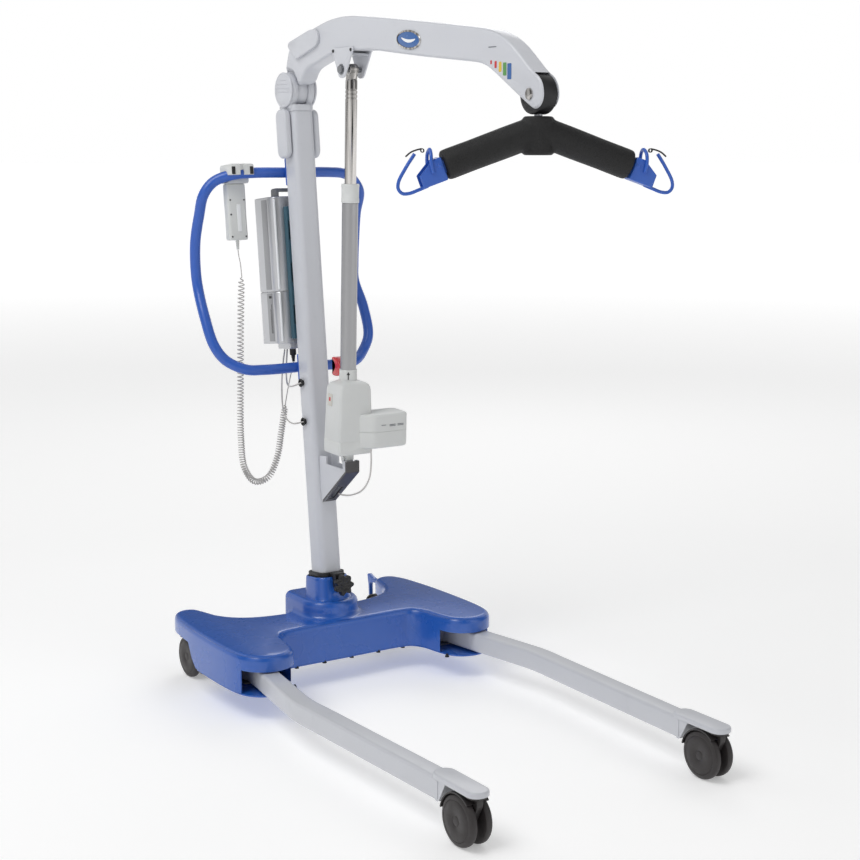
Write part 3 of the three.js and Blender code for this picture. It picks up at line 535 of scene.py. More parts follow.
def leathery(name, colour):
    """Soft black cover with a pebbled grain and creases, painted shade in the grooves and a painted dull
    sheen on the high spots, which are also glossier.
    """
    look = Look(name, colour, 0.5)
    pebble = look.node("ShaderNodeTexVoronoi", {"feature": "DISTANCE_TO_EDGE"}, Vector=look.place,
                       Scale=420.0)
    cells = sharpened(pebble, 0.0, 0.22)
    crease = sharpened(look.noise(42.0, 6.0), 0.46, 0.56)
    # Painted shade and painted sheen: the colour follows the pebble relief, dark in the grooves and lighter
    # on the tops.
    look.set("Base Color", look.mix(cells, look.shade(-0.5), look.shade(0.35)))
    look.set("Roughness", 0.62 - cells * 0.16 + look.noise(30.0, 3.0) * 0.12)
    look.bump(cells * 0.7 + crease * 0.5 + look.noise(160.0, 4.0) * 0.5, 0.55, 0.0009)
    return look.material


def jacket(name, colour):
    """Cable jacket: satin, slightly dirty."""
    look = Look(name, colour, 0.42)
    dirt = sharpened(look.noise(80.0, 5.0), 0.45, 0.8)
    look.set("Base Color", look.mix(dirt * 0.5, look.shade(0.04), look.shade(-0.28)))
    look.set("Roughness", 0.38 + dirt * 0.16)
    look.bump(look.noise(1500.0, 2.0), 0.12, 0.0002)
    return look.material


def srgb(r, g, b):
    """A colour from its display values of 0 to 255."""
    return tuple(((c / 255 + 0.055) / 1.055) ** 2.4 if c > 10 else c / 255 / 12.92 for c in (r, g, b))


FINISHES = {
    "grey_coat": (painted, srgb(203, 205, 211), "Mast, boom and legs"),
    "blue_moulding": (glossy, srgb(36, 92, 182), "Base cover"),
    "blue_coat": (painted, srgb(42, 92, 186), "Handle and spreader"),
    "charcoal": (moulded, srgb(46, 43, 43), "Caster hoods"),
    "tread": (tyre, srgb(50, 46, 46), "Wheels"),
    "black_moulding": (moulded, srgb(24, 24, 26), "Knob, collar and knuckle"),
    "pale_moulding": (moulded, srgb(214, 216, 215), "Housings and handset"),
    "silver_coat": (satin, srgb(200, 201, 204), "Control box"),
    "band_silver": (satin, srgb(150, 151, 154), "Side bands of the box"),
    "dark_band": (moulded, srgb(118, 120, 124), "Battery grip and handset panel"),
    "white_print": (moulded, srgb(236, 238, 240), "White strips and marks"),
    "chrome": (polished, srgb(200, 197, 194), "Rod and pins"),
    "aluminium": (brushed, srgb(172, 172, 174), "Actuator tube"),
    "zinc": (brushed, srgb(150, 152, 156), "Chassis and bolts"),
    # Dark grey for small screws, and painted shade on the gusset's front and underside strip, which sits in
    # the actuator's shade.
    "dark_steel": (painted, srgb(66, 64, 66), "Front of the gusset and small screws"),
    "red_gloss": (glossy, srgb(196, 24, 34), "Lowering lever and stop button"),
    "teal": (moulded, srgb(56, 92, 108), "Wall plate"),
    "foam_cover": (leathery, srgb(15, 15, 16), "Spreader cover"),
    "cord_jacket": (jacket, srgb(196, 194, 192), "Cords"),
    "label_paper": (moulded, srgb(206, 203, 196), "Plain labels"),
    "badge_blue": (glossy, srgb(34, 92, 160), "Badge"),
    "mark_green": (moulded, srgb(90, 150, 80), "Green mark"),
    "mark_yellow": (moulded, srgb(222, 186, 60), "Yellow mark"),
    "mark_grey": (moulded, srgb(120, 124, 130), "Grey print"),
}


def finish(name):
    """The material of one finish, made when it is first asked for."""
    title = f"finish_{name}"
    made = bpy.data.materials.get(title)
    return made or FINISHES[name][0](title, tuple(getattr(bpy.context.scene.hoist_finishes, name)))


# ---- pieces ----
def piece(name, solid, finish_name, body, replaced=(), place=HOIST, bevel=0.0, smooth=38):
    """Put a finished solid in the frame as one piece that rides on a body."""
    mesh = moved(solid, place)
    mesh.name = name
    mesh.materials.clear()
    mesh.materials.append(finish(finish_name))
    obj = put_in_scene(name, mesh)
    mesh.shade_smooth()
    if bevel:
        edges = obj.modifiers.new("Edges", "BEVEL")
        edges.width = bevel * MM
        edges.segments = 2
        edges.limit_method = "ANGLE"
        edges.angle_limit = math.radians(smooth)
        edges.harden_normals = True
    else:
        mesh.set_sharp_from_angle(angle=math.radians(smooth))
    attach(obj, body)
    if replaced:
        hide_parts(*replaced)
    return obj


def repeated(name, points, radius, height, finish_name, body, tip=0.0, sides=16):
    """The same small turned shape at each point, made by Geometry Nodes; points are in metres."""
    mesh = bpy.data.meshes.new(name)
    mesh.from_pydata([tuple(p) for p in points], [], [])
    obj = put_in_scene(name, mesh)
    tree = bpy.data.node_groups.new(name, "GeometryNodeTree")
    lengths = {"Radius": radius, "Tip radius": tip, "Height": height}
    tree.interface.new_socket(name="Geometry", in_out="INPUT", socket_type="NodeSocketGeometry")
    sockets = {}
    for label in lengths:
        made = tree.interface.new_socket(name=label, in_out="INPUT", socket_type="NodeSocketFloat")
        sockets[label] = made.identifier
    tree.interface.new_socket(name="Geometry", in_out="OUTPUT", socket_type="NodeSocketGeometry")
    start, end = tree.nodes.new("NodeGroupInput"), tree.nodes.new("NodeGroupOutput")
    shape = tree.nodes.new("GeometryNodeMeshCone")
    shape.inputs["Vertices"].default_value = sides
    scatter = tree.nodes.new("GeometryNodeInstanceOnPoints")
    real = tree.nodes.new("GeometryNodeRealizeInstances")
    paint = tree.nodes.new("GeometryNodeSetMaterial")
    paint.inputs["Material"].default_value = finish(finish_name)
    link = tree.links.new
    link(start.outputs["Radius"], shape.inputs["Radius Bottom"])
    link(start.outputs["Tip radius"], shape.inputs["Radius Top"])
    link(start.outputs["Height"], shape.inputs["Depth"])
    link(start.outputs["Geometry"], scatter.inputs["Points"])
    link(shape.outputs["Mesh"], scatter.inputs["Instance"])
    link(scatter.outputs["Instances"], real.inputs["Geometry"])
    link(real.outputs["Geometry"], paint.inputs["Geometry"])
    link(paint.outputs["Geometry"], end.inputs[0])
    modifier = obj.modifiers.new("Repeat", "NODES")
    modifier.node_group = tree
    for label, value in lengths.items():
        modifier[sockets[label]] = value * MM
    return piece(name, applied(obj), finish_name, body, place=Matrix.Identity(4))


# ---- properties ----
class HoistFinishes(bpy.types.PropertyGroup):
    """Colour of each finish."""
    __annotations__ = {
        name: bpy.props.FloatVectorProperty(
            name=words, description=f"Colour of the finish: {words.lower()}", subtype="COLOR", size=3,
            min=0, max=1, default=colour)
        for name, (_, colour, words) in FINISHES.items()
    }


class HoistSizes(bpy.types.PropertyGroup):
    """Radii and widths that shape the finished surfaces."""
    cover_fillet: bpy.props.FloatProperty(
        name="Cover fillet", description="Radius of the base cover's top edge", default=14 * MM,
        unit="LENGTH")
    boom_fillet: bpy.props.FloatProperty(
        name="Boom fillet", description="Radius of the boom's long edges", default=7 * MM, unit="LENGTH")
    cord: bpy.props.FloatProperty(
        name="Cord", description="Diameter of the handset's cord", default=2.9 * MM, unit="LENGTH")
    lead: bpy.props.FloatProperty(
        name="Lead", description="Diameter of the actuator and motor leads", default=4 * MM, unit="LENGTH")


def sizes():
    return bpy.context.scene.hoist_sizes


# ---- base ----
COVER_HALF = [
    (0, -97), (148, -97), (176, -103), (193, -128), (203, -185), (214, -222), (237, -244),
    (272, -252), (308, -240), (332, -212), (343, -160), (343, 10), (337, 90), (326, 160),
    (308, 194), (283, 203), (259, 193), (247, 165), (232, 112), (207, 78), (168, 54), (112, 42), (70, 40),
]


def cover_outline():
    mirrored = [(-x, y) for x, y in COVER_HALF[:0:-1]]
    return flowing(COVER_HALF + mirrored, 5, closed=True)


def hump_outline():
    """A half-round front and two rounded back corners."""
    radius, corner = HUMP["radius"], HUMP["round"]
    x, y = radius - corner, HUMP["back"] - corner
    back = circle(corner, 9, (x, y), 0, math.pi / 2) + circle(corner, 9, (-x, y), math.pi / 2, math.pi)
    return back + circle(radius, 33, (0, HUMP["centre"]), math.pi, 2 * math.pi)


class HOIST_OT_base_cover(bpy.types.Operator):
    """Moulded H-shaped cover with its hump, mast socket, paw mouths and rear arches"""
    bl_idname = "hoist.base_cover"
    bl_label = "Base cover"

    def execute(self, context):
        edge = cover_outline()
        fillet = sizes().cover_fillet / MM
        outer = slab(edge, 48, 150, top=fillet, steps=6)
        inner = slab(inset(edge, 4), 40, 146)
        hump_rings = [(0, 120), (0, 177), (1.5, 182.5), (4.5, 186.5), (8.5, 189.2), (13, 190)]
        flare_rings = [(-14, 149.0), (-7.5, 150.8), (-3.2, 154), (-0.9, 159), (0, 166)]
        hump_edge = hump_outline()
        hump = stacked(hump_edge, hump_rings)
        flare = combine("INTERSECT", stacked(hump_edge, flare_rings), [slab(inset(edge, 6), 100, 200)])
        hollow = slab(inset(hump_edge, 4), 60, 186)
        socket_rings = [(-27, -62), (-22, -60.5), (-19.5, -56), (-18, -48), (-15.5, -14), (-14.6, -9),
                        (-13.2, -6.6), (-11.8, -6)]
        socket = moved(stacked(post_section(0, 8), socket_rings), LEANING)
        bore = moved(slab(post_section(11), -64, 10), LEANING)
        mouths = []
        for side in (-1, 1):
            mouth = [(204, -300), (350, -300), (350, -200), (334, -200), (334, -120), (204, -120)]
            mouths.append(slab(counter_clockwise([(side * x, y) for x, y in mouth]), 20, 114))
        arch = side_slab([(16, 20), (300, 20), (300, 112), (62, 112), (40, 78), (16, 58)], -400, 400)
        floor = block(-400, 400, -400, 400, 0, 60)
        shell = cut(join(outer, hump, flare, socket), inner, hollow, bore, *mouths, arch, floor)
        ears = [block(a, b, 188, 218, 120, 136, 3) for a, b in ((272, 279.6), (290.4, 298))]
        shell = join(shell, *ears, rod((272, 212, 128), (298, 212, 128), 3))
        piece("base_cover_shell", shell, "blue_moulding", "root", ["base_cover"], bevel=1.0,
              smooth=42)
        return {"FINISHED"}


class HOIST_OT_base_tray(bpy.types.Operator):
    """Moulded floor of the base, whose lips show under the paws, and the screws that hold it"""
    bl_idname = "hoist.base_tray"
    bl_label = "Base tray and screws"

    def execute(self, context):
        edge = inset(cover_outline(), 1)
        tray = cut(slab(edge, 55.7, 59.7, top=1.2, foot=1.6, steps=3), block(-400, 400, 12, 400, 0, 200))
        piece("base_floor", tray, "blue_moulding", "root", ["base_tray"])
        screws = [(x, -92, 53) for x in (-135, -60, 15, 90, 160)]
        screws += [(side * 208, -214, 53) for side in (-1, 1)]
        points = [HOIST @ Vector(p) for p in screws]
        repeated("base_screws", points, 5.6, 8, "black_moulding", "root", tip=2.4)
        return {"FINISHED"}


class HOIST_OT_brake_lever(bpy.types.Operator):
    """Foot lever of the rear caster's brake"""
    bl_idname = "hoist.brake_lever"
    bl_label = "Brake lever"

    def execute(self, context):
        edge = eased([(207, 122), (240, 124), (256, 118), (256, 84), (262, 84), (264, 112), (270, 141),
                      (262, 143), (240, 135), (207, 134)], 5)
        lever = cut(side_slab(edge, 280, 290, 1.5), rod((255, 212, 128), (300, 212, 128), 3.6, 0))
        piece("brake_foot_lever", lever, "blue_moulding", "brake_lever", ["brake_lever"])
        return {"FINISHED"}


class HOIST_OT_legs(bpy.types.Operator):
    """Two leg tubes of rounded square section, each with a pivot boss and a caster head"""
    bl_idname = "hoist.legs"
    bl_label = "Legs"

    def execute(self, context):
        w, low, high = LEG["half_width"], LEG["bottom"], LEG["top"]
        line = [(LEG["x"], LEG["y"]), (274, -170), (283, -235), (306, -385), (311.5, -425), (313, -460),
                (311, -510), (305, -712), (297.7, -957)]
        track = [(x, y, (low + high) / 2) for x, y in flowing(line, 8)]
        half = (high - low) / 2
        section = rounded(-half, half, -w, w, 7, 6)
        bar = swept(track, section, start_normal=(0, 0, 1))
        x, y = LEG["x"], LEG["y"]
        boss = rod((x, y, low), (x, y, high), 27, 1)
        bore = rod((x, y, 40), (x, y, 140), 8.5, 0)
        cx, cy = FRONT_CASTER
        cap = slab(rounded(cx - w - 1.5, cx + w + 1.5, cy - w - 1.5, -930, w, 12), 106, 117, top=4, foot=1,
                   steps=4)
        end = eased([(-950, 66), (-958, 66), (-982, 110), (-950, 110)], 3)
        end = side_slab(end, cx - w + 1, cx + w - 1, 2)
        stem = rod((cx, cy, 100), (cx, cy, 112), 9, 0)
        lever = slab(rounded(204, 262, -114, -96, 8), 92, high, 1)
        pin = rod((208, -105, 100), (208, -105, 126), 5)
        leg = cut(join(bar, boss, cap, end, lever, pin), bore, stem)
        for side, word in RIGHT_LEFT:
            piece(f"leg_tube_{word}", leg, "grey_coat", f"leg_{word}", [f"leg_{word}"],
                  HOIST @ sided(side), bevel=0.8, smooth=50)
        return {"FINISHED"}


CASTERS = (
    ("front_right", -1, FRONT_CASTER, 111.7, 0), ("front_left", 1, FRONT_CASTER, 111.7, 0),
    ("rear_right", -1, REAR_CASTER, 112.2, math.pi), ("rear_left", 1, REAR_CASTER, 112.2, 0),
)


class HOIST_OT_casters(bpy.types.Operator):
    """Four twin-wheel casters: fender hoods and wheels with a ring line on their faces"""
    bl_idname = "hoist.casters"
    bl_label = "Casters"

    def hood(self, top):
        trail, wheel = CASTER["trail"], CASTER["wheel"]
        web_edge = eased([(-13, 104), (-13, 86), (trail - 18, 42), (trail, 33), (trail + 22, 44),
                          (trail + 30, 84), (trail + 8, 104)], 8)
        web = side_slab(web_edge, -7, 7, 1.5)
        centre = (trail, wheel)
        arc = circle(54, 28, centre, 0.2, 2.25) + circle(51.2, 28, centre, 0.2, 2.25)[::-1]
        fender = side_slab(arc, -25, 25)
        head = rod((0, 0, 101), (0, 0, CASTER["top"]), 20, 1.2)
        stem = rod((0, 0, 101), (0, 0, top), 8)
        bore = rod((-20, trail, wheel), (20, trail, wheel), 5.6, 0)
        return cut(join(web, fender, head, stem), bore)

    def wheels(self):
        wheel = CASTER["wheel"]
        half = [(0, 25.2), (9, 25.2), (10, 24.6), (11, 25.4), (26, 25.9), (38.6, 25.4), (39.4, 24.5),
                (40.2, 25.3), (44.5, 24.8), (47.6, 23.2), (49.4, 20.6), (wheel, 17.5), (wheel, 13.6),
                (49.2, 11.2), (47, 10), (44, 9.4), (12, 9.0), (12, 7.7), (5, 7.7)]
        profile = half + [(r, -x) for r, x in half[::-1]]
        return turned(profile, 72, along=(1, 0, 0))

    def execute(self, context):
        for name, side, (x, y), top, turn in CASTERS:
            place = HOIST @ Matrix.Translation((side * x, y, 0)) @ Matrix.Rotation(turn, 4, "Z")
            axle = place @ Matrix.Translation((0, CASTER["trail"], CASTER["wheel"]))
            piece(f"caster_{name}_hood", self.hood(top), "charcoal", f"caster_{name}",
                  [f"caster_hood_{name}"], place, bevel=0.7)
            piece(f"caster_{name}_wheels", self.wheels(), "tread", f"wheels_{name}",
                  [f"caster_wheels_{name}"], axle, smooth=50)
        return {"FINISHED"}


# ---- mast ----
class HOIST_OT_mast(bpy.types.Operator):
    """Mast tube, its collar, star knob and the two lead grommets"""
    bl_idname = "hoist.mast"
    bl_label = "Mast, collar and knob"

    def execute(self, context):
        post = slab(post_section(0, 10), POST["bottom"], POST["top"])
        inside = slab(post_section(-POST["wall"], 10), POST["bottom"] - 5, POST["top"] + 5)
        holes = [rod((-40, 6, up), (-15, 6, up), 7, 0) for up in GROMMETS]
        piece("mast_tube", cut(post, inside, *holes), "grey_coat", "root", ["mast_post"], MAST,
              bevel=0.6)
        for up, word in zip(GROMMETS, ("upper", "lower")):
            ring = [(2.6, 0), (2.6, -10), (6.6, -10), (6.6, 3.6), (9.4, 3.6), (10, 2.6), (9.6, 0.9), (8, 0),
                    (5.2, -0.3), (3.6, 0.2)]
            grommet = turned(ring, 32, (-32, 6, up), (-1, 0, 0), closed=True)
            piece(f"grommet_{word}", grommet, "black_moulding", "root",
                  [f"cable_grommet_{word}"], MAST)
        band = slab(post_section(8, 8), -5.5, 4, 1.4, 1.4)
        lug = join(block(-13, 13, -66, -36, -5.5, 4, 2), block(-13, 13, -66, -50, -32, 2, 2))
        lug = cut(lug, rod((0, -80, -20.8), (0, -40, -20.8), 7.5, 0))
        collar = cut(join(band, lug), slab(post_section(0.4, 10), -20, 20))
        piece("mast_collar", collar, "black_moulding", "root", ["socket_collar"], MAST,
              bevel=0.5)
        piece("clamp_knob", self.knob(), "black_moulding", "star_knob", ["star_knob"],
              HOIST @ Matrix.Translation((0, -66, 232)), smooth=60)
        return {"FINISHED"}

    def knob(self):
        """Star grip with its boss and screw: each ring of the grip waves in and out once for each lobe."""
        lobes, sides, radius, wave = 7, 112, 22.6, 3.4
        levels = ((6, 7), (2.4, 7.4), (0.7, 8.8), (0, 11), (0, 20), (0.8, 22.6), (2.8, 24.4), (6, 25),
                  (11, 24.4), (13, 23.4))
        rings = []
        for shrink, z in levels:
            ring = []
            for i in range(sides):
                angle = i / sides * 2 * math.pi
                r = radius + wave * math.cos(lobes * angle) - shrink
                ring.append((r * math.cos(angle), r * math.sin(angle), z))
            rings.append(ring)
        grip = loft(rings)
        turn = Matrix.Rotation(math.pi / 2, 4, "X")
        return moved(join(grip, rod((0, 0, 3), (0, 0, 10), 12), rod((0, 0, -12.5), (0, 0, 10), 5)), turn)


class HOIST_OT_mast_head(bpy.types.Operator):
    """Fork on top of the mast, the pivot pin's ribbed cap discs and the side covers"""
    bl_idname = "hoist.mast_head"
    bl_label = "Mast head"

    def execute(self, context):
        top = POST["top"]
        cap = moved(slab(post_section(1.5, 10), top + 0.3, top + 16, 3.5, 0.8), LEANING)
        plug = moved(slab(post_section(-POST["wall"] - 0.6, 8), top - 30, top + 8), LEANING)
        y, z = PIVOT["y"], PIVOT["z"]
        cheeks = []
        for side in (-1, 1):
            a, b = span(side, PIVOT["tongue"] / 2 + 1, PIVOT["cheek"])
            cheeks.append(rod((a, y, z), (b, y, z), PIVOT["radius"], 2, 72))
            neck = eased([(92, 1344), (148, 1344), (146, 1376), (96, 1376)], 3)
            cheeks.append(side_slab(neck, a, b, 2))
        room = rod((-PIVOT["tongue"] / 2 - 1, y, z), (PIVOT["tongue"] / 2 + 1, y, z), 37.5, 0, 64)
        bore = rod((-60, y, z), (60, y, z), 9.5, 0)
        head = cut(join(cap, plug, *cheeks), room, bore)
        piece("mast_fork", head, "grey_coat", "root", ["mast_head"], bevel=0.9, smooth=50)
        disc = [(0, 0), (40, 0), (41, 1), (41, 3), (39.8, 4.2), (37.6, 4.7), (36.6, 4.2), (35.4, 4.2),
                (34.4, 4.8), (0, 4.8)]
        discs = [turned(disc, 72, (side * 30.3, y, z), (side, 0, 0)) for side in (-1, 1)]
        ribs, ribbed = [], 30
        for side in (-1, 1):
            for level in (-4, 5, 14, 23):
                reach = math.sqrt(ribbed ** 2 - level ** 2)
                low, high = z + level - 1.1, z + level + 1.1
                ribs.append(block(*span(side, 34.4, 36.2), y - reach, y + reach, low, high, 0.7))
        pin = join(rod((-31, y, z), (31, y, z), 9), *discs, *ribs)
        piece("pivot_caps", pin, "grey_coat", "root", ["head_pivot_pin"], bevel=0.3)
        for side, word in RIGHT_LEFT:
            cover = side_slab(rounded(-21, 27, 990, 1104, 19, 10), *span(side, 30.2, 46), 5, 5)
            piece(f"head_side_cover_{word}", cover, "grey_coat", "root",
                  [f"head_cover_{word}"], MAST)
        return {"FINISHED"}


class HOIST_OT_gusset(bpy.types.Operator):
    """Bracket on the front of the mast under the lift actuator"""
    bl_idname = "hoist.gusset"
    bl_label = "Actuator gusset"

    def execute(self, context):
        edge = eased([(-6, 534), (-36, 537), (-36, 518), (-112, 518), (-112, 538), (-127, 538), (-127, 512),
                      (-18, 424), (-6, 428)], 3, 3)[::-1]
        sides = [side_slab(edge, x, x + 3.6, 0.6, 2) for x in (-17.8, 14.2)]
        room = moved(slab(post_section(0.3, 10), -50, 400), LEANING)
        piece("gusset_sides", cut(join(*sides), room), "grey_coat", "root",
              ["actuator_gusset"], bevel=0.6)
        # Painted shade: this strip along the gusset's front and underside is dark grey for the shade under
        # the actuator; the gusset's sides are grey coat.
        edge = [(-127.6, 511.6), (-127.6, 538), (-124, 538), (-123.5, 515), (-18, 429), (-18, 424)]
        front = cut(side_slab(edge, -18.4, 18.4), block(-7, 7, -90, -20, 432, 468))
        piece("gusset_front", front, "dark_steel", "root", bevel=0.5)
        return {"FINISHED"}


class HOIST_OT_push_handle(bpy.types.Operator):
    """Bent tube loop on two saddle plates, with its fixing screws"""
    bl_idname = "hoist.push_handle"
    bl_label = "Push handle"

    def execute(self, context):
        half = [(0, 0, 961), (105, 0, 961), (150, 7, 958), (190, 30, 944), (213, 42, 915), (216, 68, 868),
                (220, 90, 806), (219, 100, 740), (217, 99, 700), (220, 67, 630), (213, 40, 560),
                (190, 30, 524), (150, 7, 500), (105, 0, 496), (0, 0, 496)]
        ring = half + [(-x, y, z) for x, y, z in half[-2:0:-1]]
        path = flowing([(x, HANDLE_BACK + back, up) for x, back, up in ring], 10, closed=True)
        back = POST["depth"] / 2 + 0.3
        saddles = [block(-22, 22, back, back + 9, up - 32, up + 32, 3) for up in (961, 496)]
        loop = tube(path, 12.5, 28, closed=True)
        piece("handle_loop", join(loop, *saddles), "blue_coat", "root", ["push_handle"], MAST,
              bevel=0.6, smooth=50)
        spots = [(x, back + 10, up + dz) for up in (961, 496) for x in (-15, 15) for dz in (-24, 24)]
        heads = [turned([(0, 0), (4.4, 0), (4.4, 1.6), (3.4, 2.9), (0, 3.2)], 20, spot, (0, 1, 0))
                 for spot in spots]
        piece("handle_screws", join(*heads), "zinc", "root", place=MAST)
        return {"FINISHED"}


# ---- control box and handset ----
class HOIST_OT_control_box(bpy.types.Operator):
    """Wall plate, control box with its connector block, battery pack and stop button"""
    bl_idname = "hoist.control_box"
    bl_label = "Control box and battery"

    def shell(self, low, high):
        w = BOX["half_width"]
        return slab(rounded(-w, w, BOX["front"], BOX["back"], BOX["round"], 10), low, high, 4, 1.2, 4)

    def execute(self, context):
        back = POST["depth"] / 2 + 0.3
        plate = block(-30, 30, back, BOX["front"] - 0.3, BOX["bottom"] + 10, BOX["top"] - 25, 2)
        slots = [block(a, a + 5, back - 2, BOX["front"] + 2, up, up + 46) for a in (-26, 21)
                 for up in (600, 700, 800)]
        piece("box_backplate", cut(plate, *slots), "teal", "root", ["box_wall_plate"], MAST,
              bevel=0.4)
        foot = block(-34, 14, BOX["front"] + 2, BOX["front"] + 62, BOX["bottom"] - 14,
                     BOX["bottom"] + 10, 3)
        bore = rod((0, BOX["back"] - 12, 640), (0, BOX["back"] + 10, 640), 9, 0)
        body = cut(join(self.shell(BOX["bottom"], BOX["split"]), foot), bore)
        piece("control_housing", body, "silver_coat", "root", ["control_box"], MAST,
              bevel=0.5)
        top = BOX["top"]
        arch = cut(block(-44, 44, BOX["front"] + 8, BOX["front"] + 34, top - 10, top + 20, 6),
                   block(-34, 34, BOX["front"], BOX["front"] + 40, top - 20, top + 12, 4))
        pack = self.shell(BOX["split"] + 0.6, top)
        piece("battery_housing", pack, "silver_coat", "battery_pack",
              ["battery_pack"], MAST)
        piece("battery_grip", arch, "dark_band", "battery_pack", place=MAST, bevel=0.8)
        self.bands()
        mushroom = [(0, -9), (8, -9), (8, 3), (14, 3), (15, 4.5), (15, 11), (13.6, 13.3), (10, 14), (0, 14)]
        stop = turned(mushroom, 48, (0, BOX["back"], 640), (0, 1, 0))
        piece("stop_mushroom", stop, "red_gloss", "stop_button", ["stop_button"], MAST)
        return {"FINISHED"}

    def bands(self):
        """Grey side bands, a pale line along the front edges and small dark marks."""
        w, front = BOX["half_width"], BOX["front"]
        for low, high, body, word in ((BOX["bottom"] + 6, BOX["split"] - 4, "root", "lower"),
                                      (BOX["split"] + 5, BOX["top"] - 6, "battery_pack", "upper")):
            bands = [block(*span(side, w - 1, w + 0.7), front + 25, front + 52, low, high, 0.8)
                     for side in (-1, 1)]
            piece(f"box_side_bands_{word}", join(*bands), "band_silver", body, place=MAST)
            lines = [block(*span(side, w - 10, w - 6.5), front - 0.4, front + 6, low, high, 0.8)
                     for side in (-1, 1)]
            piece(f"box_edge_lines_{word}", join(*lines), "white_print", body, place=MAST)
        marks = [block(-w - 1.0, -w + 0.5, front + 28, front + 42, BOX["split"] - 16,
                       BOX["split"] - 10, 0.5)]
        marks += [block(-w - 1.0, -w + 0.5, front + 30 + 5 * i, front + 32 + 5 * i, 580,
                        580 + 70 - 12 * i, 0.4)
                  for i in range(2)]
        piece("box_marks", join(*marks), "black_moulding", "root", place=MAST)


BUTTONS = (("raise", -10, 905), ("lower", 10, 905), ("legs_open", -10, 872), ("legs_close", 10, 872))


class HOIST_OT_handset(bpy.types.Operator):
    """Handset with its strip, screws, buttons and ribbed strain relief, and the clip that hangs it"""
    bl_idname = "hoist.handset"
    bl_label = "Handset and clip"

    def execute(self, context):
        x, back, low, high = HANDSET["x"], HANDSET["back"], HANDSET["low"], HANDSET["high"]
        place = MAST @ Matrix.Translation((x, back, 0))
        w, t = HANDSET["width"] / 2, HANDSET["thick"] / 2
        levels = [(4, low), (1.2, low + 1), (0, low + 4), (0.6, low + 60), (0, low + 90), (0, high - 4),
                  (1.2, high - 1), (4, high)]
        wells = [rod((bx, t - 5, up), (bx, t + 5, up), 6.6, 0) for _, bx, up in BUTTONS]
        relief = [(0, low - 22), (3.2, low - 22)]
        for i in range(5):
            z = low - 21 + 4.2 * i
            relief += [(3.4 + 0.32 * i, z), (3.4 + 0.32 * i, z + 2.3), (2.7 + 0.32 * i, z + 2.6),
                       (2.7 + 0.32 * i, z + 3.8)]
        relief += [(5, low), (5, low + 5), (0, low + 5)]
        body = cut(join(stacked(rounded(-w, w, -t, t, 8, 8), levels), turned(relief, 28)), *wells)
        piece("handset_case", body, "pale_moulding", "root", ["handset"], place, smooth=42)
        strip = block(-2, 8, -t - 0.7, -t + 2, low + 20, low + 84, 1)
        panel = block(-19, 19, t - 2, t + 0.5, low + 48, high - 14, 1)
        panel = cut(panel, *[rod((bx, t - 5, up), (bx, t + 5, up), 7.2, 0) for _, bx, up in BUTTONS])
        piece("handset_strip", strip, "white_print", "root", place=place)
        piece("handset_panel", panel, "dark_band", "root", place=place)
        spots = [(sx, -t - 0.2, up) for sx in (-18, 18) for up in (low + 8, high - 38)]
        spots.append((-18, -t - 0.2, low + 60))
        heads = [turned([(0, -1), (2.2, -1), (2.2, 0.2), (1.6, 0.7), (0, 0.8)], 16, spot, (0, -1, 0))
                 for spot in spots]
        piece("handset_screws", join(*heads), "dark_steel", "root", place=place)
        for name, bx, up in BUTTONS:
            cap = turned([(0, -2.6), (6, -2.6), (6, 1.2), (5.2, 1.9), (0, 2)], 32, (bx, t, up), (0, 1, 0))
            piece(f"handset_button_{name}", cap, "teal", f"button_{name}",
                  [f"button_{name}"], place)
        self.clip(x, back)
        return {"FINISHED"}

    def clip(self, x, back):
        clip_body = block(x - 31, x + 31, HANDLE_BACK - 17, back + 9, 938.3, 982, 5)
        mouth = block(x - 40, x + 40, HANDLE_BACK - 30, HANDLE_BACK + 16, 925, 956)
        half = [(-190, 30, 944), (-150, 7, 958), (-105, 0, 961), (-40, 0, 961)]
        bar = tube(flowing([(px, HANDLE_BACK + pb, up) for px, pb, up in half], 8), 13.5, 24)
        notch = block(x - 6, x + 6, HANDLE_BACK - 30, HANDLE_BACK - 8, 930, 990)
        piece("handset_hanger", cut(clip_body, bar, mouth, notch), "pale_moulding", "root",
              ["handset_clip"], MAST, bevel=0.6)
        pads = [block(x + a, x + a + 9, HANDLE_BACK - 18.5, HANDLE_BACK - 12, 957, 975, 1.5)
                for a in (-28, 19)]
        piece("hanger_pads", join(*pads), "black_moulding", "root", place=MAST)


# ---- cords ----
COIL_TOP = (-139, 146, 955)
COIL_END = (-26, 146, 640)
COIL = {"radius": 8.4, "pitch": 9.4, "tightens": 3.4, "from": 0.30, "over": 0.22, "points": 14, "taper": 16}
COIL_PATH = [COIL_TOP, (-143, 146, 860), (-147, 146, 700), (-148, 146, 560), (-140, 146, 492),
             (-112, 147, 456), (-76, 148, 462), (-50, 148, 508), (-38, 147, 570), COIL_END]


def world(points):
    """Points of the hoist's frame in metres."""
    return [HOIST @ Vector(p) for p in points]


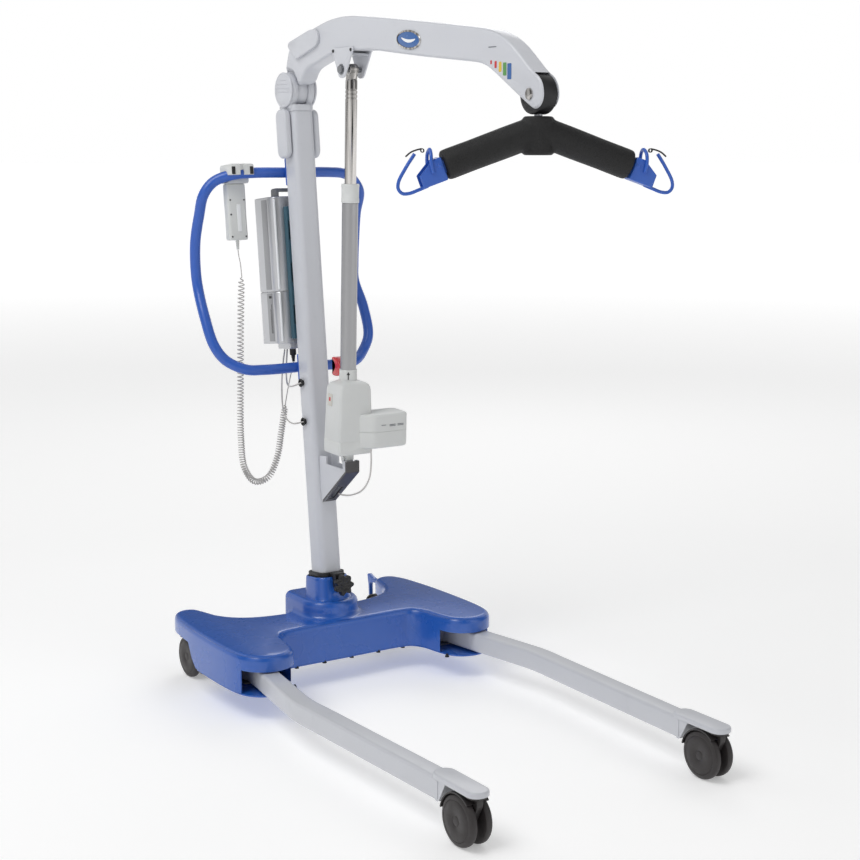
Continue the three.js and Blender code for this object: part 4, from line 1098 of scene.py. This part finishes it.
class HOIST_OT_cords(bpy.types.Operator):
    """Curly handset cord and the three plain leads"""
    bl_idname = "hoist.cords"
    bl_label = "Cords"

    def curly(self):
        """The handset cord's own line: a straight lead, the helix and the tail to the plug."""
        wire = sizes().cord / MM
        axis = flowing(COIL_PATH, 60)
        total = path_length(axis)
        radius = COIL["radius"] - wire / 2
        top = on_mast(HANDSET["x"], HANDSET["back"], HANDSET["low"] - 23)
        plug_tip = on_mast(-10, BOX["front"] + 32, BOX["bottom"] - 46)
        line = flowing([top, (-137.5, 161, 1002), (-139, 150.5, 984), (COIL_TOP[0], COIL_TOP[1], 962)], 8)
        done, angle = 0.0, 0.0
        side = Vector((1, 0, 0))
        for a, b in zip(axis, axis[1:]):
            a, b = Vector(a), Vector(b)
            tangent = (b - a).normalized()
            side = (side - tangent * side.dot(tangent)).normalized()
            other = tangent.cross(side)
            tight = min(1.0, max(0.0, done / total - COIL["from"]) / COIL["over"])
            pitch = COIL["pitch"] - COIL["tightens"] * tight
            length = (b - a).length
            steps = max(1, round(length / pitch * COIL["points"]))
            taper = max(0.02, min(1.0, (done + 1) / COIL["taper"], (total - done) / COIL["taper"]))
            for k in range(steps):
                turn = angle + 2 * math.pi * (length / pitch) * k / steps
                at = a + (b - a) * (k / steps)
                line.append(tuple(at + (side * math.cos(turn) + other * math.sin(turn)) * radius * taper))
            angle += 2 * math.pi * length / pitch
            done += length
        line += flowing([COIL_END, (-18, 145, 680), (plug_tip[0], plug_tip[1], plug_tip[2] - 1)], 8)[1:]
        return line

    def cord(self, name, points, width, body, replaced, far_end, lay, with_pieces=()):
        """A round cord along its points, which leaves its part at the first one."""
        obj = piece(name, tube(points, width / 2, 8), "cord_jacket", body, replaced, smooth=80)
        width * MM

    def execute(self, context):
        plug_at = (-10, BOX["front"] + 32, 0)
        low = BOX["bottom"]
        profile = [(0, low - 46), (3.4, low - 46)]
        for i in range(4):
            z = low - 45 + 3.6 * i
            profile += [(3.7 + 0.5 * i, z), (3.7 + 0.5 * i, z + 2), (3.1 + 0.5 * i, z + 2.3),
                        (3.1 + 0.5 * i, z + 3.3)]
        profile += [(7.4, low - 30), (8, low - 29), (8, low - 14.3), (0, low - 14.3)]
        plug = piece("cord_plug", turned(profile, 32, plug_at), "charcoal", "root",
                     ["handset_plug"], MAST)
        self.cord("handset_cord", self.curly(), sizes().cord / MM, "root",
                  ["handset_lead", "handset_coil", "handset_tail"], "plug", "hanging", [plug])
        ends = [on_mast(-32.6, 6, up) for up in GROMMETS]
        tops = [on_mast(x, BOX["front"] + 34, BOX["bottom"] - 14.9) for x in (-24, -31)]
        routes = (
            ("lift_actuator_lead", [tops[0], (-25, 138, 752), (-30, 132, 716), (-44, 100, 694),
                                    (-50, 68, 694), ends[0]],
             "lift_lead"),
            ("leg_motor_lead", [tops[1], (-34, 139, 745), (-44, 130, 680), (-56, 96, 622), (-54, 58, 606),
                                ends[1]],
             "leg_lead"),
        )
        lead = sizes().lead / MM
        for name, route, node in routes:
            self.cord(name, flowing(route, 7), lead, "root", [node], "object", "loose")
        route = [(30, -160, 568.5), (30, -161, 540), (27, -157, 500), (18, -140, 470), (6, -112, 455),
                 (0, -80, 450), (0, -62, 450)]
        self.cord("lift_motor_lead", flowing(route, 7), lead, "actuator", ["motor_lead"], "object", "loose")
        return {"FINISHED"}


# ---- boom ----
class HOIST_OT_boom(bpy.types.Operator):
    """Hollow boom with its saddle, side panels, badge, marks, end pin and lift bracket"""
    bl_idname = "hoist.boom"
    bl_label = "Boom and bracket"

    def execute(self, context):
        half = BOOM_WIDTH / 2
        fillet = sizes().boom_fillet / MM
        y, z = PIVOT["y"], PIVOT["z"]
        profile = [(140, 1400), (128, 1452), (108, 1497), (9, 1522), (-56, 1536), (-100, 1541),
                   (-150, 1542.5), (-240, 1535), (-450, 1513), (-640, 1491), (-690, 1484), (-730, 1470),
                   (-764, 1451), (-829, 1399), (-846, 1391), (-858, 1377), (-862, 1358), (-859, 1344),
                   (-849, 1333), (-836, 1329), (-822, 1333), (-698, 1405), (-676, 1416), (-648, 1423),
                   (-450, 1442), (-252, 1464), (-130, 1467), (-89, 1465), (-20, 1447), (40, 1432),
                   (60, 1400)]
        full = side_slab(counter_clockwise(eased(profile[::-1], 26, 5)), -half, half, fillet, 5)
        inner = [(90, 1486), (8, 1512), (-60, 1526), (-150, 1532), (-450, 1503), (-685, 1473), (-760, 1441),
                 (-797, 1413), (-772, 1378), (-700, 1419), (-648, 1433), (-450, 1452), (-252, 1474),
                 (-130, 1477), (-86, 1475), (20, 1452)]
        hollow = side_slab(counter_clockwise(inner), -half + 3.5, half - 3.5)
        room = self.saddle(y, z)
        width = PIVOT["tongue"] / 2
        tongue = [(84, 1400), (152, 1380), (152, 1410), (128, 1452), (90, 1440)]
        throat = [rod((-width, y, z), (width, y, z), 36, 0.8, 72),
                  side_slab(counter_clockwise(tongue), -width, width)]
        swing_y, swing_z = SWING["y"], SWING["z"]
        bores = [rod((-60, y, z), (60, y, z), 9.5, 0),
                 rod((-40, swing_y, swing_z), (40, swing_y, swing_z), 6.4, 0)]
        drum = SWING["radius"] + 2.4
        knuckle_room = rod((-17.6, swing_y, swing_z), (17.6, swing_y, swing_z), drum, 0, 64)
        openings = [block(-17.6, 17.6, -900, swing_y, 1300, 1398), block(-17.6, 17.6, swing_y - 5,
                                                                         swing_y + 30, 1300, 1360)]
        panel = eased([(106, 1484), (104, 1496), (4, 1520), (-22, 1520), (-34, 1508), (-34, 1494),
                       (-24, 1483), (66, 1457)], 8, 5)
        panel = counter_clockwise(panel)
        panels = [side_slab(panel, *span(side, half - 1, half + 7.5), 2.4, 3) for side in (-1, 1)]
        shell = cut(join(cut(full, room), *throat, *panels), hollow, knuckle_room, *openings, *bores)
        piece("boom_shell", shell, "grey_coat", "boom", ["boom_arm"], bevel=0.9, smooth=46)
        self.trim(half)
        self.bracket()
        return {"FINISHED"}

    def saddle(self, y, z):
        """The room round the fork: a drum whose rim flares outwards, so the boom narrows into its tongue."""
        half = BOOM_WIDTH / 2 + 6
        profile = [(0, -half), (58, -half), (50, -19), (45, -15.5), (43, -12.8), (43, 12.8), (45, 15.5),
                   (50, 19), (58, half), (0, half)]
        return turned(profile, 72, (0, y, z), (1, 0, 0))

    def trim(self, half):
        """Oval badge with a chrome rim on each face, five generic marks near the tip, and the end pin."""
        for side, word in RIGHT_LEFT:
            centre = Vector((side * half, -404, 1478))
            turn = Matrix.Rotation(math.radians(5.6), 4, "X")
            outwards = Matrix(((0, 0, side, 0), (1, 0, 0, 0), (0, 1, 0, 0), (0, 0, 0, 1)))
            face = Matrix.Translation(centre) @ turn @ outwards
            oval = [(46 * x, 20 * y) for x, y in circle(1, 64)]
            rim = moved(cut(slab(oval, -0.5, 2.8, 1.4), slab(inset(oval, 3.6), 1.2, 5)), face)
            plaque = moved(slab(inset(oval, 3.9), -0.5, 2.0, 0.6), face)
            piece(f"badge_rim_{word}", rim, "chrome", "boom")
            piece(f"badge_plaque_{word}", plaque, "badge_blue", "boom")
            stripe = [(27 * x, 3.2 * y + 2.6 * (2 * x * x - 1)) for x, y in circle(1, 40)]
            piece(f"badge_stripe_{word}", moved(slab(stripe, 1.0, 2.3), face), "white_print", "boom")
            colours = ("red_gloss", "red_gloss", "mark_yellow", "mark_green", "badge_blue")
            for i, colour in enumerate(colours):
                at, foot, height = -697 - 15 * i, 1417 - 7.5 * i, 8 + 5.5 * i
                mark = side_slab(rounded(at - 2.5 - i, at + 2.5 + i, foot, foot + height, 2, 4),
                                 *span(side, half - 1, half + 0.5), 0.2, 1)
                piece(f"boom_mark_{i + 1}_{word}", mark, colour, "boom")
            small = side_slab(rounded(-714, -688, 1449, 1451, 0.9, 3), *span(side, half - 1, half + 0.4))
            piece(f"boom_caption_bar_{word}", small, "mark_grey", "boom")
        y, z = SWING["y"], SWING["z"]
        head = [(0, 22.3), (11, 22.3), (11, 24.2), (9.6, 25), (5, 25.2), (0, 25.2)]
        heads = [turned(head, 40, (0, y, z), (side, 0, 0)) for side in (-1, 1)]
        pin = join(rod((-23, y, z), (23, y, z), 6), *heads)
        piece("boom_tip_pin", pin, "chrome", "boom", ["boom_end_pin"])

    def bracket(self):
        """Two plates and a strap under the boom, with the rod's bolt and four rivets."""
        edge = eased([(-92, 1474), (-186, 1474), (-148, 1412), (-140, 1408), (-130, 1408), (-122, 1412)], 6,
                     4)
        plates = [side_slab(counter_clockwise(edge), *span(side, 22.3, 26.3), 0.7, 2) for side in (-1, 1)]
        strap = side_slab([(-172, 1457), (-104, 1457), (-106, 1461.5), (-170, 1461.5)], -26.3, 26.3)
        y, z = ROD_PIN["y"], ROD_PIN["z"]
        bracket = cut(join(*plates, strap), rod((-40, y, z), (40, y, z), 6.4, 0))
        piece("boom_bracket", bracket, "grey_coat", "boom", ["lift_bracket"], bevel=0.5)
        nut = [(0, 26.6), (9.5, 26.6), (9.5, 31.8), (8.4, 33), (0, 33)]
        heads = [turned(nut, 6, (0, y, z), (side, 0, 0)) for side in (-1, 1)]
        washers = [turned([(0, 26.4), (12, 26.4), (12, 27.6), (0, 27.6)], 32, (0, y, z), (side, 0, 0))
                   for side in (-1, 1)]
        bolt = join(rod((-27, y, z), (27, y, z), 6), *heads, *washers)
        piece("bracket_bolt", bolt, "zinc", "boom", ["lift_bracket_bolt"], bevel=0.3)
        caps = [turned([(0, -0.4), (3.6, -0.4), (3.6, 1.4), (2.8, 2.2), (0, 2.4)], 20,
                       (side * 26.3, by, bz), (side, 0, 0))
                for side in (-1, 1) for by, bz in ((-100, 1468), (-176, 1468))]
        piece("bracket_rivets", join(*caps), "black_moulding", "boom")


# ---- lift actuator ----
LABEL_TILT = Matrix.Rotation(math.radians(1.9), 4, "Y")


class HOIST_OT_actuator(bpy.types.Operator):
    """Chrome rod, brushed tube, collar, gear housing with its motor pod, and the red lever"""
    bl_idname = "hoist.actuator"
    bl_label = "Lift actuator"

    def execute(self, context):
        reach = REACH
        eye = join(rod((-11, 0, reach), (11, 0, reach), 13, 1), block(-10, 10, -10, 10, reach - 26,
                                                                      reach, 3))
        eye = cut(eye, rod((-30, 0, reach), (30, 0, reach), 6.4, 0))
        shaft = [(0, reach - 440), (13.3, reach - 440), (13.3, reach - 66)]
        for i in range(3):
            z = reach - 64 + 9 * i
            shaft += [(13.3, z), (12.3, z + 0.8), (12.3, z + 2.2), (13.3, z + 3)]
        shaft += [(13.3, reach - 24), (11, reach - 20), (0, reach - 20)]
        piece("actuator_rod", join(eye, turned(shaft, 56)), "chrome", "lift_rod", ["lift_rod"],
              ACTUATOR, bevel=0.3)
        barrel = cut(rod((0, 0, 180), (0, 0, 592), 18.5, 0.8, 64), rod((0, 0, 186), (0, 0, 602),
                                                                       14.2, 0, 64))
        piece("actuator_tube", barrel, "aluminium", "actuator", ["lift_tube"], ACTUATOR)
        collar = [(14.2, 592.4), (14.2, 634), (15.4, 635), (19.6, 635), (20.5, 634), (20.5, 628),
                  (20.0, 627), (20.0, 603), (20.5, 602), (20.5, 593.4), (19.8, 592.4)]
        piece("actuator_collar", turned(collar, 56, closed=True), "pale_moulding", "actuator",
              ["tube_collar"], ACTUATOR)
        self.housing()
        edge = eased([(12, 196), (36, 190), (52, 190), (56, 197), (44, 206), (40, 214), (46, 222),
                      (57, 226), (56, 233), (44, 234), (26, 226), (12, 210)], 4, 4)
        lever = cut(side_slab(edge, -12, 12, 2.4, 4), rod((0, 0, 180), (0, 0, 230), 21.2, 0))
        piece("release_lever", lever, "red_gloss", "lowering_lever", ["lowering_lever"],
              ACTUATOR)
        return {"FINISHED"}

    def housing(self):
        """Gear case with its motor pod, sleeve, lug and pin, and the plain label and marks on them."""
        levels = [(40, 37, 29, 16, 4), (44, 40, 32, 17.5, 5), (45.5, 41, 33, 21, 6), (45.5, 41, 33, 47, 6),
                  (44.9, 40.4, 32.4, 47.8, 6), (44.9, 40.4, 32.4, 49.2, 6), (45.3, 40.8, 32.8, 50, 6),
                  (41.6, 38, 30.5, 165, 7), (40.8, 37.2, 29.8, 172, 8), (38.6, 35, 27.6, 178, 9),
                  (34, 31, 24, 182, 10), (27, 26, 22, 184, 14), (21.5, 21.5, 21.5, 187, 20)]
        rings = [[(x, y, z) for x, y in rounded(-w, w, -front, back, r, 8)]
                 for w, front, back, z, r in levels]
        case = loft(rings)
        face = eased([(5, -38), (36, -62), (120, -62), (131, -52), (131, 0), (120, 8), (5, 8)], 7, 5)
        face = counter_clockwise(face)
        pod = slab(face, 30, 110, 6, 6, 5)
        seam = cut(slab(inset(face, -1), 68.5, 70), slab(inset(face, 0.9), 60, 80))
        lug = join(rod((-9, 0, 0), (9, 0, 0), 14, 1), block(-9, 9, -14, 14, 0, 30))
        sleeve = rod((0, 0, 184), (0, 0, 212), 20.5, 0.8, 56)
        room = rod((0, 0, 179.7), (0, 0, 300), 18.8, 0, 56)
        case = cut(join(case, pod, sleeve), room, seam)
        case = join(case, lug, rod((-13, 0, 0), (13, 0, 0), 6, 0.5))
        piece("gear_case", case, "pale_moulding", "actuator", ["gear_housing"], ACTUATOR,
              bevel=0.5, smooth=44)
        screws = [turned([(0, -1), (5, -1), (5, 1.6), (4, 2.6), (0, 2.8)], 6 if side < 0 else 24,
                         (side * 24, -20, 16), (0, 0, -1)) for side in (-1, 1)]
        piece("case_screws", join(*screws), "black_moulding", "actuator", place=ACTUATOR,
              bevel=0.3)
        on_case = Matrix.Translation((-42.6, 8, 142)) @ LABEL_TILT
        label = moved(block(-1.2, 0.8, -9, 9, -14, 14, 0.3), on_case)
        piece("case_label", label, "label_paper", "actuator", place=ACTUATOR)
        mark = moved(block(-1.5, 0.4, -3.5, 3.5, -3, 6, 0.3), on_case)
        piece("case_label_mark", mark, "red_gloss", "actuator", place=ACTUATOR)
        strips = [block(54 + 22 * i, 54 + 22 * i + (16 if i else 12), -63.0, -61.4, 84 - 3 * j,
                        85.4 - 3 * j, 0.3)
                  for i in range(3) for j in range(2 if i else 1)]
        piece("pod_print", join(*strips), "mark_grey", "actuator", place=ACTUATOR)
        arrow = side_slab([(-1.2, 190), (1.2, 190), (1.2, 201), (4, 201), (0, 208), (-4, 201),
                           (-1.2, 201)], 0, 1)
        arrow = moved(arrow, Matrix.Rotation(math.radians(-120), 4, "Z") @ Matrix.Translation((20.1, 0, 0)))
        piece("sleeve_arrow", arrow, "black_moulding", "actuator", place=ACTUATOR)


# ---- swing knuckle and spreader ----
class HOIST_OT_knuckle(bpy.types.Operator):
    """Round knuckle in the boom's tip and the stud below it"""
    bl_idname = "hoist.knuckle"
    bl_label = "Swing knuckle"

    def execute(self, context):
        y, z, radius = SWING["y"], SWING["z"], SWING["radius"]
        half = [(6.4, 16.8), (12, 16.8), (12.6, 15.8), (30, 15.8), (30.8, 16.8), (35.6, 16.8), (37.4, 15.6),
                (radius, 13.6)]
        profile = half + [(r, -x) for r, x in half[::-1]]
        disc = turned(profile, 80, (0, y, z), (1, 0, 0), closed=True)
        disc = cut(disc, rod((0, y, 1290), (0, y, z - 12), 8.3, 0))
        piece("tip_knuckle", disc, "black_moulding", "knuckle", ["swing_knuckle"],
              bevel=0.4)
        stud = [(0, 1256), (13, 1256), (14, 1257), (14, 1263), (13, 1264), (8, 1264), (8, 1311),
                (10.5, 1312), (10.5, 1316), (8, 1317), (8, z - 12.5), (0, z - 12.5)]
        piece("spreader_stud", turned(stud, 40, (0, y, 0)), "zinc", "knuckle", ["swivel_stud"])
        return {"FINISHED"}


class HOIST_OT_spreader(bpy.types.Operator):
    """Blue spreader frame with its brackets, hooks and arches, the sprung keepers and the soft cover"""
    bl_idname = "hoist.spreader"
    bl_label = "Spreader bar"

    def execute(self, context):
        hub = cut(rod((0, 0, 1268), (0, 0, 1300), 20, 0.6), rod((0, 0, 1230), (0, 0, 1268.5), 15.5, 0))
        made = [hub]
        for side in (-1, 1):
            place = sided(side) @ DROP
            made.append(moved(block(10, 212, -12, 12, -12, 12), place))
            corner = moved(block(-40, 40, -30, 30, 0, 40), Matrix.Translation((236, 0, 6))
                           @ Matrix.Rotation(0.55, 4, "Y"))
            channel = cut(block(198, 248, -19, 19, -26, 19, 3), block(216, 260, -15.5, 15.5, -22.5,
                                                                      30), corner)
            made.append(moved(channel, place))
            hook = [(236, -25), (256, -25.6), (274, -25.6), (287, -21), (291.5, -11), (287, 1), (264, 22),
                    (240, 40)]
            hook = tube(flowing([(x, 0, z) for x, z in hook], 8), 3.4, 18)
            made.append(moved(hook, place))
            arch = flowing([(222, -20.5, -4), (220, -21, 12), (214, -17, 30), (210, 0, 38), (214, 17, 30),
                            (220, 21, 12), (222, 20.5, -4)], 8)
            made.append(moved(tube(arch, 3.4, 18), place))
            for across in (-1, 1):
                rivet = turned([(0, 0), (4.2, 0), (4.2, 1.2), (3, 2.2), (0, 2.5)], 20,
                               (206, across * 18.6, 4), (0, across, 0))
                made.append(moved(rivet, place))
        bar = cut(join(*made), rod((0, 0, 1260), (0, 0, 1310), 8.5, 0))
        piece("spreader_bar", bar, "blue_coat", "spreader", ["spreader_frame"], SPREADER,
              bevel=0.4)
        self.cover()
        for side, word in RIGHT_LEFT:
            wire = flowing([(224, 0, 44.3), (234, 0, 45.6), (246, 0, 45.2), (258, 0, 41)], 6)
            coil = []
            for i in range(4 * 14 + 1):
                a = 2 * math.pi * i / 14
                coil.append((224 + 3.0 * math.sin(a), -4 + 8 * i / 56, 44.3 - 3.4 + 3.4 * math.cos(a)))
            piece(f"keeper_spring_{word}", tube(coil, 0.8, 8), "black_moulding", f"hook_keeper_{word}",
                  place=arm(side))
            piece(f"keeper_wire_{word}", tube(wire, 1.6, 12), "black_moulding", f"hook_keeper_{word}",
                  [f"hook_keeper_{word}"], arm(side))
        return {"FINISHED"}

    def cover(self):
        """Soft cover: hub and arms melted together by a fine remesh and smoothing, then cut for the frame."""
        hub = turned([(0, HUB["bottom"]), (27, HUB["bottom"]), (30.5, HUB["bottom"] + 4),
                      (30.5, HUB["top"] - 5), (27, HUB["top"]), (0, HUB["top"])], 64)
        sleeve = [(0, 0), (29, 0), (29.4, 60), (28.8, 130), (29.2, 176), (28.6, 186), (25, 189), (0, 189)]
        parts, sockets = [hub], []
        for side in (-1, 1):
            place = sided(side) @ DROP
            parts.append(moved(turned(sleeve, 64, (6, 0, 0), (1, 0, 0)), place))
            sockets.append(moved(block(5, 230, -12.3, 12.3, -12.3, 12.3), place))
        obj = put_in_scene("Cover", join(*parts))
        remesh = obj.modifiers.new("Remesh", "REMESH")
        remesh.mode, remesh.voxel_size = "VOXEL", 2.0
        soften = obj.modifiers.new("Soften", "SMOOTH")
        soften.factor, soften.iterations = 0.5, 14
        core = rod((0, 0, 1240), (0, 0, 1300.3), 20.3, 0)
        mouth = rod((0, 0, 1290), (0, 0, 1330), 9, 0)
        soft = cut(applied(obj), core, mouth, *sockets)
        pad = piece("spreader_cover", soft, "foam_cover", "spreader", ["spreader_foam"], SPREADER,
                    smooth=50)


# ---- carried-over CAD nodes ----
HIDDEN_METAL = {"base_frame": "zinc", "leg_yoke": "zinc", "leg_push_rod": "chrome",
                "leg_motor": "black_moulding"}


class HOIST_OT_cad_finishes(bpy.types.Operator):
    """Finishes of the chassis and drive inside the base, whose CAD shapes are kept"""
    bl_idname = "hoist.cad_finishes"
    bl_label = "Chassis finishes"

    def execute(self, context):
        for node, name in HIDDEN_METAL.items():
            obj = frame["nodes"][node]
            if not obj.material_slots:
                obj.data.materials.append(finish(name))
            for slot in obj.material_slots:
                slot.material = finish(name)
        return {"FINISHED"}


# ---- stage ----
PANEL_LIGHT, PANEL_SWING, PANELS = 0.46, 0.36, 4.0
LAMPS = (
    ("key", (-2.6, -0.2, 4.4), 2.4, 80),
    ("fill", (2.4, -4.4, 2.0), 2.4, 6),
    ("back", (2.4, 3.2, 3.0), 2.0, 24),
)
LIT_POINT = (0, 0, 0.7)
LENS, SENSOR = 69.15, 36
VIEW = {"yaw": math.radians(-33.64), "pitch": math.radians(9.88), "roll": math.radians(0.07)}
EYE = (-1.936, FOOT_Y - 3.361, 1.268)


class HOIST_OT_stage(bpy.types.Operator):
    """Pale floor that glows as painted light, soft studio lights and the camera"""
    bl_idname = "hoist.stage"
    bl_label = "Floor, lights and camera"

    def execute(self, context):
        scene = context.scene
        bpy.ops.mesh.primitive_plane_add(size=300)
        floor = context.object
        floor.name = "floor"
        paper = Look("floor_paper_glowing", (0.88, 0.88, 0.88), 0.8)
        paper.set("Base Color", paper.mix(paper.noise(0.6), (0.83, 0.83, 0.83, 1), (0.85, 0.85, 0.85, 1)))
        # Painted light: the floor glows, weakly near the hoist and more strongly further out, lighting the
        # hoist from below.
        paper.set("Emission Color", (1, 1, 1, 1))
        reach = paper.node("ShaderNodeVectorMath", {"operation": "LENGTH"}, paper.place, out="Value")
        paper.set("Emission Strength", 0.30 + 0.36 * sharpened(reach, 2.0, 12.0))
        floor.data.materials.append(paper.material)
        scene.world = self.studio()
        for name, at, size, watts in LAMPS:
            lamp = bpy.data.lights.new(name, "AREA")
            lamp.size, lamp.energy = size, watts
            obj = put_in_scene(name, lamp)
            obj.location = at
            obj.rotation_euler = (Vector(at) - Vector(LIT_POINT)).to_track_quat("Z", "Y").to_euler()
        camera = bpy.data.cameras.new("camera")
        camera.lens, camera.sensor_width = LENS, SENSOR
        camera.clip_end = 100
        eye = put_in_scene("camera", camera)
        level, height = math.cos(VIEW["pitch"]), math.sin(VIEW["pitch"])
        back = Vector((math.sin(VIEW["yaw"]) * level, -math.cos(VIEW["yaw"]) * level, height))
        turn = back.to_track_quat("Z", "Y").to_matrix() @ Matrix.Rotation(VIEW["roll"], 3, "Z")
        eye.rotation_euler = turn.to_euler()
        eye.location = EYE
        scene.camera = eye
        scene.view_settings.view_transform = "Standard"
        return {"FINISHED"}

    def studio(self):
        """Even pale surroundings, lit by tall soft panels with dim gaps between them."""
        world = bpy.data.worlds.new("Studio")
        world.use_nodes = True
        tree = world.node_tree
        lit = tree.nodes["Background"]
        maths = []
        steps = (("ARCTAN2", None), ("MULTIPLY", PANELS), ("SINE", None), ("MULTIPLY_ADD", PANEL_SWING))
        for operation, second in steps:
            made = tree.nodes.new("ShaderNodeMath")
            made.operation = operation
            if second is not None:
                made.inputs[1].default_value = second
            maths.append(made)
        maths[-1].inputs[2].default_value = PANEL_LIGHT
        place, split = tree.nodes.new("ShaderNodeTexCoord"), tree.nodes.new("ShaderNodeSeparateXYZ")
        seen, mix, path = (tree.nodes.new(kind) for kind in
                           ("ShaderNodeBackground", "ShaderNodeMixShader", "ShaderNodeLightPath"))
        seen.inputs["Strength"].default_value = 1.0
        link = tree.links.new
        link(place.outputs["Generated"], split.inputs[0])
        link(split.outputs["Y"], maths[0].inputs[0])
        link(split.outputs["X"], maths[0].inputs[1])
        for a, b in zip(maths, maths[1:]):
            link(a.outputs[0], b.inputs[0])
        link(maths[-1].outputs[0], lit.inputs["Strength"])
        lit.inputs["Color"].default_value = seen.inputs["Color"].default_value = (1, 1, 1, 1)
        link(path.outputs["Is Camera Ray"], mix.inputs[0])
        link(lit.outputs[0], mix.inputs[1])
        link(seen.outputs[0], mix.inputs[2])
        link(mix.outputs[0], tree.nodes["World Output"].inputs["Surface"])
        return world


OPERATORS = (
    HOIST_OT_stage, HOIST_OT_cords, HOIST_OT_base_cover, HOIST_OT_base_tray, HOIST_OT_brake_lever,
    HOIST_OT_legs, HOIST_OT_casters, HOIST_OT_mast, HOIST_OT_mast_head, HOIST_OT_gusset,
    HOIST_OT_push_handle, HOIST_OT_control_box, HOIST_OT_handset, HOIST_OT_boom, HOIST_OT_actuator,
    HOIST_OT_knuckle, HOIST_OT_spreader, HOIST_OT_cad_finishes,
)


class HOIST_PT_panel(bpy.types.Panel):
    """Sizes, finishes and the pieces of the hoist"""
    bl_idname = "HOIST_PT_panel"
    bl_label = "Hoist"
    bl_space_type = "VIEW_3D"
    bl_region_type = "UI"
    bl_category = "Hoist"

    def draw(self, context):
        for group in (context.scene.hoist_sizes, context.scene.hoist_finishes):
            for name in group.__annotations__:
                self.layout.prop(group, name)
        for operator in OPERATORS:
            self.layout.operator(operator.bl_idname)


CLASSES = (HoistFinishes, HoistSizes, *OPERATORS, HOIST_PT_panel)


def register():
    for cls in CLASSES:
        bpy.utils.register_class(cls)
    bpy.types.Scene.hoist_sizes = bpy.props.PointerProperty(type=HoistSizes)
    bpy.types.Scene.hoist_finishes = bpy.props.PointerProperty(type=HoistFinishes)


def unregister():
    del bpy.types.Scene.hoist_finishes
    del bpy.types.Scene.hoist_sizes
    for cls in reversed(CLASSES):
        bpy.utils.unregister_class(cls)


def main():
    register()
    for operator in OPERATORS:
        group, name = operator.bl_idname.split(".")
        getattr(getattr(bpy.ops, group), name)()


if __name__ == "__main__":
    main()
